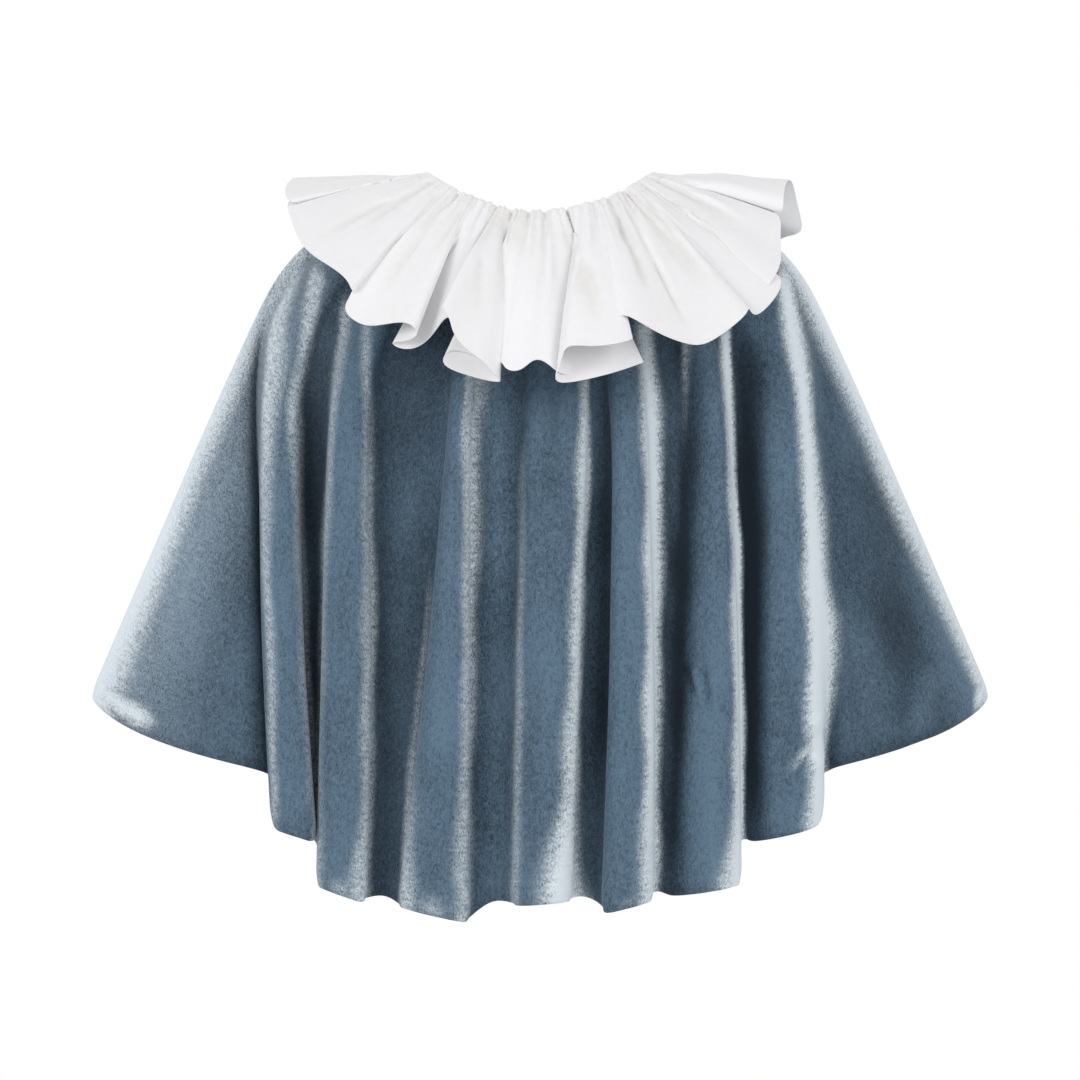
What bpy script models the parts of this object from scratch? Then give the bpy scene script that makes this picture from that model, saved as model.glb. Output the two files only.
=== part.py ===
"""A child's short cape: a velvet body that falls in rolled folds, under a gathered cotton ruffle.

The wearer's front faces -Y. The origin is the middle of the neck opening, level with the top of its
sides, where the wearer's neck and shoulders carry the cape. Sizes are in millimetres until a piece
is made, in metres.
"""

import math
from collections import namedtuple

import bpy
import numpy as np

MM = 0.001

# Cloth
VELVET_THICKNESS = 1.4
COTTON_THICKNESS = 1.0
SEAM_GAP = 0.3

# Neck opening: an oval that dips at the front and the back and rides up over the shoulders
NECK_HALF_WIDTH = 62.0
NECK_HALF_DEPTH = 52.0
NECK_DIP = 24.0

# Elastic casing that rims the neck
CASING_HALF_WIDTH = 2.0
CASING_HALF_HEIGHT = 2.6

# Hem: its drop at the side seam, how much further the smooth sides fall towards the front, and the
# drop of the front, reached between two places across the hem
SIDE_HEM_DROP = 281.5
SIDE_HEM_FALL = 49.0
FRONT_HEM_DROP = 388.0
HEM_TURNS = 205.0
HEM_TURNED = 90.0
HEM_POWER = 4

# Smooth sides: lines between the side seam, 0, and the first fold, 1, the strip that edges the seam,
# and how softly the cloth turns over it
SIDE_COLUMNS = (0.24, 0.5, 0.77, 0.95)
SEAM_STRIP = 0.12
SEAM_ROUNDING = 0.3

# How many rows and how many points between two columns each wall is sampled with
BODY_ROWS = 10
BODY_STEPS = 1.5
COLLAR_ROWS = 7
COLLAR_STEPS = 1.5
CASING_SEGMENTS = 72
CASING_SIDES = 6

Ring = namedtuple("Ring", "half_width side_drop half_depth front_share fold_strength")
Fold = namedtuple(
    "Fold",
    "left_bust left_mid left_hem right_bust right_mid right_hem crown tuck hem_left hem_right",
)
Lobe = namedtuple("Lobe", "angle half_width lift tuck reach_left reach_right slip under")
Profile = namedtuple("Profile", "flat rolled out")
Column = namedtuple("Column", "left right point out")

# Rings of the body from the neck to the hem, on the smooth form that the folds stand out from
BODY_RINGS = (
    Ring(62.0, 2.6, 52.0, 0.0071, 0.00),
    Ring(80.0, 8.5, 56.5, 0.04, 0.00),
    Ring(104.0, 18.5, 62.5, 0.092, 0.10),
    Ring(128.0, 33.5, 69.0, 0.16, 0.28),
    Ring(146.0, 53.0, 76.0, 0.24, 0.52),
    Ring(158.0, 78.0, 83.0, 0.33, 0.74),
    Ring(183.5, 133.0, 93.5, 0.50, 0.90),
    Ring(209.5, 192.0, 102.0, 0.68, 0.96),
    Ring(231.8, 242.0, 109.0, 0.84, 1.00),
    Ring(249.3, SIDE_HEM_DROP, 115.0, 1.00, 1.00),
)
BUST_RING = 5
MID_RING = 7
HEM_RING = 9

# Cross-section of one fold: its lines lie across it from its left edge, 0, to its right edge, 1, before
# and after it rolls over its valleys, and out runs from the valley beside it, -1, to its crown, 1
FOLD_PROFILE = (
    Profile(-0.12, 0.16, -0.62),
    Profile(0.00, -0.08, 0.24),
    Profile(0.24, 0.16, 1.00),
    Profile(0.50, 0.50, 1.06),
    Profile(0.76, 0.84, 1.00),
    Profile(1.00, 1.08, 0.24),
    Profile(1.12, 0.84, -0.62),
)

FIRST_VALLEY = Profile(-0.26, 0.24, -1.00)
END_VALLEY = Profile(1.26, 0.76, -1.00)

# Folds of each side of the body, from the wearer's right to left as the front is seen
FRONT_FOLDS = (
    Fold(-149.0, -146.5, -145.0, -127.0, -124.0, -121.5, 11.0, 15.0, 351.0, 357.0),
    Fold(-114.0, -116.5, -118.5, -93.0, -89.5, -91.0, 12.0, 15.0, 381.0, 389.0),
    Fold(-49.0, -60.0, -75.0, -37.5, -37.0, -37.0, 12.0, 10.0, 391.0, 399.0),
    Fold(-8.0, -13.0, -15.0, 25.0, 21.0, 17.0, 9.0, 7.0, 390.0, 388.0),
    Fold(39.0, 36.5, 32.0, 58.0, 61.0, 60.0, 12.0, 12.0, 394.0, 388.0),
    Fold(86.0, 76.5, 69.5, 101.0, 106.0, 106.5, 13.0, 11.0, 386.0, 380.0),
    Fold(121.0, 113.0, 110.0, 150.0, 150.0, 151.0, 12.0, 15.0, 360.0, 349.0),
)
BACK_FOLDS = (
    Fold(-147.0, -145.0, -141.0, -125.0, -121.0, -117.0, 11.0, 15.0, 350.0, 358.0),
    Fold(-102.0, -105.0, -108.0, -80.0, -77.0, -76.0, 12.0, 13.0, 385.0, 391.0),
    Fold(-57.0, -60.0, -64.0, -32.0, -30.0, -28.0, 11.0, 11.0, 390.0, 396.0),
    Fold(-12.0, -14.0, -15.0, 14.0, 17.0, 20.0, 10.0, 9.0, 392.0, 392.0),
    Fold(37.0, 35.0, 33.0, 61.0, 63.0, 66.0, 12.0, 11.0, 396.0, 390.0),
    Fold(83.0, 80.0, 78.0, 104.0, 107.0, 110.0, 12.0, 12.0, 390.0, 384.0),
    Fold(126.0, 122.0, 119.0, 148.0, 147.0, 145.0, 11.0, 10.0, 357.0, 351.0),
)

# Depth of the last valley, and how much shorter the cloth hangs in a valley and beside the outer folds
END_TUCK = 15.0
VALLEY_LIFT = 4.0
SIDE_VALLEY_LIFT = 17.0

# Folds fade towards the side, and roll over once they are strong and face the front, to a set width
SIDE_FADE = 0.65
ROLL_STARTS = 0.30
ROLL_FACING = 0.50
ROLL_FACED = 0.80
ROLL_WIDTH = 20.0

# Ruffle: where its free edge lies before it is waved, and how it bows out on the way down
RUFFLE_HALF_WIDTH = 139.0
RUFFLE_HALF_DEPTH = 101.0
RUFFLE_SIDE_DROP = 9.0
RUFFLE_FRONT_DROP = 108.0
RUFFLE_DROP_POWER = 1.1
RUFFLE_BOW = 5.0
RUFFLE_BELLY = 0.6
RUFFLE_WAVE_POWER = 0.85
RUFFLE_ROLL_STARTS = 0.15
RUFFLE_ROLL_ENDS = 0.75

# Waves of the ruffle's free edge, by angle from the front towards the wearer's left: how far each crest
# lifts and reaches past the edge, and how deep the tucked cloth before it lies, slips under and hangs
COLLAR_LOBES = (
    Lobe(-92.0, 7.5, 13.0, 5.0, 2.0, 1.0, 0.0, 0.0),
    Lobe(-66.0, 15.0, 7.0, 6.0, 0.0, -9.0, -4.0, 0.0),
    Lobe(-41.5, 6.0, 4.0, 7.0, -2.0, -5.0, -3.0, -5.0),
    Lobe(-28.5, 4.5, 9.0, 6.0, 5.0, -8.0, 1.0, -5.0),
    Lobe(-10.0, 9.0, 11.0, 13.0, -6.0, 6.0, 6.0, 15.0),
    Lobe(3.3, 2.6, 6.0, 5.0, 0.0, 4.0, 0.0, -3.0),
    Lobe(14.8, 7.0, 10.0, 9.0, -2.0, -6.0, 2.0, 5.0),
    Lobe(39.5, 14.0, 9.0, 13.0, -8.0, 10.0, -6.0, 13.0),
    Lobe(65.5, 8.0, 8.0, 7.0, 8.0, 2.0, 5.0, 10.0),
    Lobe(80.5, 4.6, 8.0, 6.0, 3.0, 3.0, 0.0, 0.0),
    Lobe(94.0, 7.0, 12.0, 6.0, 2.0, 2.0, 3.0, 0.0),
    Lobe(112.0, 6.5, 8.0, 8.0, 4.0, -2.0, -2.0, 2.0),
    Lobe(129.0, 7.5, 9.0, 8.0, -2.0, 5.0, 3.0, 4.0),
    Lobe(146.0, 6.0, 8.0, 8.0, 6.0, 0.0, -3.0, 3.0),
    Lobe(161.0, 6.5, 10.0, 8.0, 0.0, 6.0, 4.0, 6.0),
    Lobe(178.0, 7.5, 9.0, 9.0, 7.0, 2.0, 2.0, 2.0),
    Lobe(195.0, 6.5, 10.0, 8.0, 5.0, -3.0, -4.0, 6.0),
    Lobe(211.0, 7.5, 9.0, 8.0, -2.0, 6.0, 3.0, 2.0),
    Lobe(228.0, 6.0, 8.0, 8.0, 4.0, 0.0, -3.0, 4.0),
    Lobe(246.0, 8.0, 9.0, 8.0, -3.0, 4.0, 3.0, 2.0),
)
LOBE_PROFILE = (
    Profile(-0.06, 0.14, -0.45),
    Profile(0.08, -0.08, 0.15),
    Profile(0.30, 0.20, 1.00),
    Profile(0.70, 0.80, 1.00),
    Profile(0.92, 1.08, 0.15),
    Profile(1.06, 0.86, -0.45),
)


def spline_matrix(count, places, closed):
    """Cubic B-spline weights: a row for each place along count control points."""
    weights = np.zeros((len(places), count))
    for row, place in enumerate(places):
        first = min(int(place), count - 1 if closed else count - 2)
        t = place - first
        basis = (
            (1 - t) ** 3 / 6,
            (3 * t**3 - 6 * t**2 + 4) / 6,
            (-3 * t**3 + 3 * t**2 + 3 * t + 1) / 6,
            t**3 / 6,
        )
        for offset, weight in zip((-1, 0, 1, 2), basis):
            index = first + offset
            if closed:
                weights[row, index % count] += weight
            elif index < 0:
                weights[row, 0] += 2 * weight
                weights[row, 1] -= weight
            elif index >= count:
                weights[row, count - 1] += 2 * weight
                weights[row, count - 2] -= weight
            else:
                weights[row, index] += weight
    return weights


def sample_cage(cage, across, down):
    """Points of the smooth surface on a cage of [ring, column] points, closed round its columns."""
    over_columns = spline_matrix(cage.shape[1], across, closed=True)
    over_rings = spline_matrix(cage.shape[0], down, closed=False)
    return np.einsum("ri,ijk,cj->rck", over_rings, cage, over_columns)


def panel_points(cage, first, last, down):
    """Points of a panel that runs between two seam columns and stops short of each by half a seam gap."""
    inner = np.linspace(first, last, round((last - first) * BODY_STEPS) + 1)[1:-1]
    places = np.concatenate([[first, first + SEAM_STRIP], inner, [last - SEAM_STRIP, last]])
    points = sample_cage(cage, places, down)
    for end, beside in ((0, 1), (-1, -2)):
        inwards = points[:, beside] - points[:, end]
        inwards /= np.linalg.norm(inwards, axis=1, keepdims=True)
        points[:, end] += inwards * SEAM_GAP / 2
    return points


def neck_drop(angle):
    """How far the neck's rim lies below the top of its sides, at an angle from the front."""
    return NECK_DIP * math.cos(angle) ** 2


def fold_edge(fold, side, ring_index, neck_x):
    """Where a fold's left or right edge lies across the body, on one ring."""
    bust, mid, hem = (getattr(fold, f"{side}_{station}") for station in ("bust", "mid", "hem"))
    if ring_index <= BUST_RING:
        widths = [BODY_RINGS[i].half_width for i in (0, ring_index, BUST_RING)]
        return neck_x + (bust - neck_x) * (widths[1] - widths[0]) / (widths[2] - widths[0])
    if ring_index <= MID_RING:
        return bust + (mid - bust) * (ring_index - BUST_RING) / (MID_RING - BUST_RING)
    return mid + (hem - mid) * (ring_index - MID_RING) / (HEM_RING - MID_RING)


def fold_columns(folds):
    """Lines that run down one side's folds, and how far each stands out.

    A valley line lies between two folds, and has no point in a fold's profile.
    """
    columns = []
    for index, fold in enumerate(folds):
        before = folds[index - 1] if index else None
        columns.append(Column(before, fold, None, -fold.tuck))
        for point in FOLD_PROFILE:
            depth = fold.crown if point.out > 0 else fold.tuck
            columns.append(Column(fold, fold, point, depth * point.out))
    columns.append(Column(folds[-1], None, None, -END_TUCK))
    return columns


def fold_place(fold, point, ring_index, neck_x, roll):
    """Where one line of a fold lies across the body on one ring, and its hem drop."""
    left = fold_edge(fold, "left", ring_index, neck_x)
    right = fold_edge(fold, "right", ring_index, neck_x)
    width = right - left
    across = point.flat + (point.rolled - point.flat) * roll * min(1.0, ROLL_WIDTH / max(width, 1.0))
    share = min(max(across, 0.0), 1.0)
    return left + across * width, fold.hem_left + share * (fold.hem_right - fold.hem_left)


def fold_roll(column, ring_index, neck_x):
    """How far a fold has rolled over its valleys on one ring: less near the neck, and less near the side."""
    fold = column.left or column.right
    ring = BODY_RINGS[ring_index]
    middle = (fold_edge(fold, "left", ring_index, neck_x) + fold_edge(fold, "right", ring_index, neck_x)) / 2
    facing = math.sqrt(1 - min(1.0, abs(middle) / ring.half_width) ** 2)
    by_ring = smooth_step((ring.fold_strength - ROLL_STARTS) / (1 - ROLL_STARTS))
    return by_ring * smooth_step((facing - ROLL_FACING) / (ROLL_FACED - ROLL_FACING))


def column_place(column, ring_index, neck_x):
    """Where any line lies across the body on one ring, and its hem drop."""
    left, right, point, _ = column
    roll = fold_roll(column, ring_index, neck_x)
    if point:
        return fold_place(left, point, ring_index, neck_x, roll)
    beside = []
    if left:
        end = FOLD_PROFILE[-1] if right else END_VALLEY
        beside.append(fold_place(left, end, ring_index, neck_x, roll))
    if right:
        end = FOLD_PROFILE[0] if left else FIRST_VALLEY
        beside.append(fold_place(right, end, ring_index, neck_x, roll))
    place, hem = np.mean(beside, axis=0)
    return place, hem - (VALLEY_LIFT if len(beside) == 2 else SIDE_VALLEY_LIFT)


def smooth_step(value):
    value = min(max(value, 0.0), 1.0)
    return value * value * (3 - 2 * value)


def frontness(cosine):
    """How far a place has turned from the side, 0, to the front, 1, with a soft ridge along the side seam."""
    soft = math.hypot(cosine, SEAM_ROUNDING) - SEAM_ROUNDING
    return soft / (math.hypot(1.0, SEAM_ROUNDING) - SEAM_ROUNDING)


def side_hem(angle):
    """Hem drop of the smooth part beside the folds."""
    return SIDE_HEM_DROP + SIDE_HEM_FALL * frontness(math.cos(angle))


def general_hem(x):
    """Hem drop of the form without folds: the sides curve down into the front."""
    side = side_hem(math.asin(min(1.0, abs(x) / BODY_RINGS[-1].half_width)))
    return side + (FRONT_HEM_DROP - side) * smooth_step((HEM_TURNS - abs(x)) / (HEM_TURNS - HEM_TURNED))


def half_lines(folds, ring_index, neck_angles):
    """Place, stand-out and hem drop of each line on one ring, from the seam at -X to the one at +X."""
    columns = fold_columns(folds)
    ring = BODY_RINGS[ring_index]
    inner = []
    for column, angle in zip(columns, neck_angles[1 + len(SIDE_COLUMNS) :]):
        x, hem = column_place(column, ring_index, NECK_HALF_WIDTH * math.sin(angle))
        inner.append((x, column.out, hem))
    sides = {-1: [], 1: []}
    for sign, (edge, _, _) in ((-1, inner[0]), (1, inner[-1])):
        end = math.asin(min(1.0, abs(edge) / ring.half_width))
        for share in SIDE_COLUMNS:
            angle = math.pi / 2 + (end - math.pi / 2) * share
            sides[sign].append((sign * ring.half_width * math.sin(angle), 0.0, side_hem(angle)))
    seam = (-ring.half_width, 0.0, SIDE_HEM_DROP)
    return [seam, *sides[-1], *inner, *reversed(sides[1])]


def ring_point(ring, x, out, neck_angle, hem_x, hem):
    """Depth and height of a line on one ring, given its place there, and its place and drop at the hem."""
    facing = math.sqrt(1 - min(1.0, abs(x) / ring.half_width) ** 2)
    side_share = ring.side_drop / SIDE_HEM_DROP
    share = side_share + (ring.front_share - side_share) * frontness(facing)
    top = neck_drop(neck_angle)
    general = general_hem(hem_x)
    drop = top + (general - top) * share + (hem - general) * share**HEM_POWER
    strength = ring.fold_strength * smooth_step(facing / SIDE_FADE)
    return ring.half_depth * facing + out * strength, -drop


def half_cage(folds, sign):
    """Cage points [ring, column] of the front or back, from the seam at -X to just before the seam at +X."""
    total = 1 + 2 * len(SIDE_COLUMNS) + len(fold_columns(folds))
    neck_angles = [math.pi * (i / total - 0.5) for i in range(total)]
    hems = half_lines(folds, HEM_RING, neck_angles)
    cage = np.zeros((len(BODY_RINGS), total, 3))
    for r, ring in enumerate(BODY_RINGS):
        for c, (x, out, _) in enumerate(half_lines(folds, r, neck_angles)):
            hem_x, _, hem = hems[c]
            depth, z = ring_point(ring, x, out, neck_angles[c], hem_x, hem)
            cage[r, c] = (x, sign * depth, z)
    return cage


def body_cage():
    """Cage points of the whole body: along the front to +X, and back along the back."""
    front = half_cage(FRONT_FOLDS, -1)
    back = half_cage(BACK_FOLDS, 1)
    mirrored = back[:, ::-1]
    right_seam = front[:, :1] * (-1, 1, 1)
    return np.concatenate([front, right_seam, mirrored[:, :-1]], axis=1), front.shape[1]


def ruffle_edge(angle):
    """The ruffle's free edge before it is waved."""
    fall = abs(math.cos(angle)) ** RUFFLE_DROP_POWER
    drop = RUFFLE_SIDE_DROP + (RUFFLE_FRONT_DROP - RUFFLE_SIDE_DROP) * fall
    return np.array((RUFFLE_HALF_WIDTH * math.sin(angle), -RUFFLE_HALF_DEPTH * math.cos(angle), -drop))


def ruffle_neck(angle):
    """The ruffle's gathered edge, just outside the casing."""
    reach = CASING_HALF_WIDTH + SEAM_GAP + COTTON_THICKNESS / 2
    return np.array(
        (
            (NECK_HALF_WIDTH + reach) * math.sin(angle),
            -(NECK_HALF_DEPTH + reach) * math.cos(angle),
            -neck_drop(angle),
        )
    )


def ruffle_columns():
    """Flat angle, rolled angle, lift and reach of each line that runs out over the ruffle."""
    columns = []
    for index, lobe in enumerate(COLLAR_LOBES):
        before = COLLAR_LOBES[index - 1]
        turn = 360.0 if index == 0 else 0.0
        gap = (lobe.angle - lobe.half_width + before.angle - turn + before.half_width) / 2
        columns.append((gap, gap + lobe.slip, -lobe.tuck, lobe.under))
        for point in LOBE_PROFILE:
            flat, rolled = (lobe.angle + (2 * across - 1) * lobe.half_width for across in point[:2])
            height = lobe.lift if point.out > 0 else lobe.tuck
            reach = lobe.reach_left + (lobe.reach_right - lobe.reach_left) * point.rolled
            reach += RUFFLE_BELLY * lobe.half_width * 4 * point.rolled * (1 - point.rolled)
            columns.append((flat, rolled, height * point.out, reach))
    return columns


def ruffle_point(neck, degrees, lift, reach, share):
    """A point of the ruffle, a share of the way from its gathered edge to its free edge."""
    angle = math.radians(degrees)
    edge = ruffle_edge(angle)
    along = ruffle_edge(angle + 0.01) - ruffle_edge(angle - 0.01)
    run = edge - ruffle_neck(angle)
    up = np.cross(run, along)
    up /= np.linalg.norm(up)
    edge += run / np.linalg.norm(run) * reach
    bow = RUFFLE_BOW * math.sin(math.pi * share)
    return neck + (edge - neck) * share + up * (lift * share**RUFFLE_WAVE_POWER + bow)


def collar_cage():
    """Cage points [ring, column] of the ruffle, from the neck to its free edge."""
    columns = ruffle_columns()
    start = math.radians(columns[0][0])
    cage = np.zeros((COLLAR_ROWS, len(columns), 3))
    for c, (flat, rolled, lift, reach) in enumerate(columns):
        neck = ruffle_neck(start + 2 * math.pi * c / len(columns))
        for r in range(COLLAR_ROWS):
            share = r / (COLLAR_ROWS - 1)
            roll = smooth_step((share - RUFFLE_ROLL_STARTS) / (RUFFLE_ROLL_ENDS - RUFFLE_ROLL_STARTS))
            cage[r, c] = ruffle_point(neck, flat + (rolled - flat) * roll, lift, reach, share)
    return cage


def cloth(name, points, thickness, material, closed=False):
    """A wall of cloth: a grid laid on the points [row, column], thickened inwards."""
    rows, columns = points.shape[:2]
    bpy.ops.mesh.primitive_grid_add(x_subdivisions=columns - 1, y_subdivisions=rows - 1, size=1)
    wall = bpy.context.object
    wall.name = wall.data.name = name
    wall.data.vertices.foreach_set("co", (points[::-1] * MM).astype(np.float32).ravel())
    wall.data.update()
    if closed:
        weld = wall.modifiers.new("join ends", "WELD")
        weld.merge_threshold = 0.00005
    solidify = wall.modifiers.new("thickness", "SOLIDIFY")
    solidify.thickness = thickness * MM
    solidify.offset = -1.0
    solidify.use_quality_normals = True
    solidify.use_even_offset = True
    wall.data.materials.append(material)
    wall.data.shade_smooth()
    return wall


def casing(material):
    """The rolled casing round the neck."""
    around = np.linspace(0, 2 * math.pi, CASING_SEGMENTS + 1)
    section = np.linspace(0, 2 * math.pi, CASING_SIDES + 1)
    points = np.zeros((CASING_SIDES + 1, CASING_SEGMENTS + 1, 3))
    for c, angle in enumerate(around):
        for r, turn in enumerate(section):
            out = CASING_HALF_WIDTH * math.cos(turn)
            points[r, c] = (
                (NECK_HALF_WIDTH + out) * math.sin(angle),
                -(NECK_HALF_DEPTH + out) * math.cos(angle),
                -neck_drop(angle) + CASING_HALF_HEIGHT * math.sin(turn),
            )
    rows, columns = points.shape[:2]
    bpy.ops.mesh.primitive_grid_add(x_subdivisions=columns - 1, y_subdivisions=rows - 1, size=1)
    band = bpy.context.object
    band.name = band.data.name = "neck_casing"
    band.data.vertices.foreach_set("co", (points * MM).astype(np.float32).ravel())
    weld = band.modifiers.new("join ends", "WELD")
    weld.merge_threshold = 0.00005
    band.data.materials.append(material)
    band.data.shade_smooth()
    return band


def finish(name, colour, roughness):
    material = bpy.data.materials.new(name)
    material.use_nodes = True
    shader = material.node_tree.nodes["Principled BSDF"]
    shader.inputs["Base Color"].default_value = (*colour, 1.0)
    shader.inputs["Roughness"].default_value = roughness
    shader.inputs["Metallic"].default_value = 0.0
    return material


def build():
    for old in list(bpy.data.objects):
        bpy.data.objects.remove(old)
    velvet = finish("blue velvet", (0.10, 0.17, 0.24), 0.9)
    cotton = finish("white cotton", (0.86, 0.86, 0.88), 0.75)

    cage, right_seam = body_cage()
    down = np.linspace(0, len(BODY_RINGS) - 1, BODY_ROWS)
    total = cage.shape[1]
    front = panel_points(cage, 0, right_seam, down)
    back = panel_points(cage, right_seam, total, down)
    pieces = [
        cloth("cape_front", front, VELVET_THICKNESS, velvet),
        cloth("cape_back", back, VELVET_THICKNESS, velvet),
    ]
    ruffle = collar_cage()
    around = np.linspace(0, ruffle.shape[1], round(ruffle.shape[1] * COLLAR_STEPS) + 1)
    outward = np.linspace(0, COLLAR_ROWS - 1, COLLAR_ROWS)
    pieces.append(
        cloth("collar_ruffle", sample_cage(ruffle, around, outward), COTTON_THICKNESS, cotton, closed=True)
    )
    pieces.append(casing(cotton))
    return pieces


build()
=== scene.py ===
"""A child's short cape in blue silk velvet under a gathered white cotton ruffle, dressed on its solids.

The wearer's front faces -Y. Sizes are in millimetres until a piece is made, in metres.
"""

import math
from collections import namedtuple

import bpy
import numpy as np
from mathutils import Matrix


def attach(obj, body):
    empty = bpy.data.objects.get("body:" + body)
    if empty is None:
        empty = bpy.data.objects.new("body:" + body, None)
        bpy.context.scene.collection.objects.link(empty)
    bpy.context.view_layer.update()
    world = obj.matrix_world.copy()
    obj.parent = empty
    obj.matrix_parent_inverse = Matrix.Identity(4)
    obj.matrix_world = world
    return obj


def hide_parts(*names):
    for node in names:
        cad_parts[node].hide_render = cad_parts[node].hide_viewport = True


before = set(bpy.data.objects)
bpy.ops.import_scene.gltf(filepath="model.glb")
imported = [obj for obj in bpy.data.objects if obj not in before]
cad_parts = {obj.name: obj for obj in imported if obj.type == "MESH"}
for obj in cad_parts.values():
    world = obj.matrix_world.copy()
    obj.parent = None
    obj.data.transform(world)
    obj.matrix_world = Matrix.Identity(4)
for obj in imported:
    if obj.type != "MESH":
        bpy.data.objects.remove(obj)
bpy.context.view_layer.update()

MM = 0.001
FLOOR_DROP = 0.9
FLOOR_RADIUS = 3.0
LIGHT_AIM = (0, 0, -0.2)
CAMERA_AWAY = 2.6
CAMERA_DROP = 0.199
VIEW_WIDTH = 0.594
SENSOR_WIDTH = 36

# The cut of the cape

NECK_HALF_WIDTH = 62.0
NECK_HALF_DEPTH = 52.0
NECK_DIP = 24.0
CASING_HALF_WIDTH = 2.0
CASING_HALF_HEIGHT = 2.6
CASING_FLATNESS = 0.6
CASING_EASE = 0.1
CASING_AROUND = 541
CASING_SECTION = 17
PUCKER_RANGE = (-1.6, 0.6)
PUCKER_RISE = 0.6
VELVET_WALL = 1.1
COTTON_WALL = 0.5
SEAM_GAP = 0.3
SEAM_OPEN = 0.08
SHARP_EDGE = 50
JOIN_DISTANCE = 0.02

# Body: its hem, smooth sides, valleys and rolled folds
SIDE_HEM_DROP = 281.5
SIDE_HEM_FALL = 49.0
FRONT_HEM_DROP = 388.0
HEM_TURNS = 205.0
HEM_TURNED = 90.0
HEM_POWER = 4
SIDE_COLUMNS = (0.24, 0.5, 0.77, 0.95)
SEAM_ROUNDING = 0.3
HEM_ROUNDING = 0.12
END_TUCK = 15.0
END_GROWTH = (0.0, 0.0, 0.0, 0.0, 0.0, 0.0, 0.0, 0.1, 0.5, 1.0)
SOFT_END = (9.0, 5.5, 2.5)
VALLEY_LIFT = 4.0
SIDE_VALLEY_LIFT = 29.0
SIDE_EDGE_LIFT = 20.0
SIDE_FADE = 0.65
ROLL_STARTS = 0.30
ROLL_FACING = 0.50
ROLL_FACED = 0.80
ROLL_WIDTH = 20.0
BUST_RING = 5
MID_RING = 7
HEM_RING = 9

# Velvet panels: their grid, turned hem, painted light and shade, and lapped seams
PANEL_COLUMNS = 310
PANEL_ROWS = 132
PANEL_RING = 7.5
PANEL_ON_FOLDS = 0.7
CLOTH_ROW = 2 * PANEL_ROWS // 3
FINE_ACROSS = 12
FINE_DOWN = 400
FULL_STAND = 15.0
HEM_RADIUS = 1.3
HEM_TURNS_UNDER = (45, 90, 135, 180)
HEM_TURN_ROWS = 4
HEM_CURL = 1.2
HEM_CURL_HEIGHT = 10.0
# Painted shade near the hem, and how far up the painted valley shade is lightened
HEM_SHADE = 0.4
HEM_SHADE_HEIGHT = 12.0
HEM_LIGHT = 0.7
HEM_LIGHT_HEIGHT = 85.0
SIDE_SLOPE = 0.44
# Painted light and shade on the creases: ridges lighter, troughs darker
CREASE_SHADE = 0.2
CREASE_FADE = 0.3
# Painted bands: how they fade at their ends and waver
BAND_FADE = 25.0
PATCH_FADE = 20.0
WAVER_ACROSS = 0.28
WAVER_WIDTH = 10.0
WAVER_SHORT = 0.7
WAVER_SPREAD = 0.14
# Painted sheen bands along the edges of the back's folds
BACK_BAND_DROPS = (60, 192, 385)
BACK_BAND_SHARES = (0.45, 1.0, 0.9)
BACK_BAND_SPREADS = (3.0, 6.0)
BACK_BAND_INSET = 1.0
SEAM_SMOOTH = 22.0
SEAM_GROOVE = 0.7
SEAM_GROOVE_WIDTH = 3.0
SEAM_TURN = 2.2
SEAM_LAP = 2.0
SEAM_LAP_BACK = 0.6
SEAM_LAP_IN = 0.8
SEAM_EASE = 0.05
SHOULDER_DROP = 88.0
SHOULDER_FADE = 25.0

# Ruffle: where its free edge lies before it is waved, its bow, gathers and stitches
RUFFLE_HALF_WIDTH = 139.0
RUFFLE_HALF_DEPTH = 101.0
RUFFLE_SIDE_DROP = 9.0
RUFFLE_FRONT_DROP = 108.0
RUFFLE_DROP_POWER = 1.1
RUFFLE_BOW = 4.0
RUFFLE_SIDE_BOW = 0.1
RUFFLE_BELLY = 0.6
RUFFLE_CRISP = 0.45
RUFFLE_CLEAR = 0.5
RUFFLE_RISE = 0.2
RUFFLE_RINGS = 7
RUFFLE_COLUMNS = 800
RUFFLE_ON_FOLDS = 0.6
RUFFLE_ROWS = 56
HEADER_WIDTH = 1.9
HEADER_RISE = 0.7
LOBE_STEP = 16
SMALL_TURN = 0.01
BACK_NECK = (104.5, 255.5)
GATHER_START = 0.15
GATHER_END = 0.8
NECK_PUCKER = 0.6
NECK_PUCKER_SHARE = 0.08
SMOOTH_CLOTH = ((-76, -53), (50, 100))
SMOOTH_DEPTH = 0.35
WRINKLES = 170
GATHER_SEED = 7
WRINKLE_SEED = 11
STITCHES = 150
STITCH_LENGTH = 1.7
STITCH_RADIUS = 0.3
STITCH_DROP = 2.8
STITCH_LIFT = 0.6

Ring = namedtuple("Ring", "half_width side_drop half_depth front_share fold_strength")
Edge = namedtuple("Edge", "x y drop neck")
Lobe = namedtuple("Lobe", "angle half_width lift tuck reach_left reach_right slip under")
Gather = namedtuple("Gather", "neck share_top share_low turn width depth")
Column = namedtuple("Column", "left right point out")
Crease = namedtuple("Crease", "x_top drop_top x_low drop_low width height")
PaintedBand = namedtuple("PaintedBand", "drop x left right strength")
Side = namedtuple("Side", "drop spread strength")
Patch = namedtuple("Patch", "x_from x_to above spread strength")
Profile = namedtuple("Profile", "flat rolled out")
Wave = namedtuple("Wave", "length phase")

LONG_WAVE = Wave(17.0, 2.3)
SHORT_WAVE = Wave(7.3, 1.1)
LEFT_WAVE = Wave(11.0, 1.7)
RIGHT_WAVE = Wave(13.0, 2.9)


def table(kind, *rows):
    """Rows of a table, with their columns named."""
    return tuple(kind(*row) for row in rows)


def band(*stations):
    return table(PaintedBand, *stations)


# Cross-sections of a fold, before and after it rolls over its valleys

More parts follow.
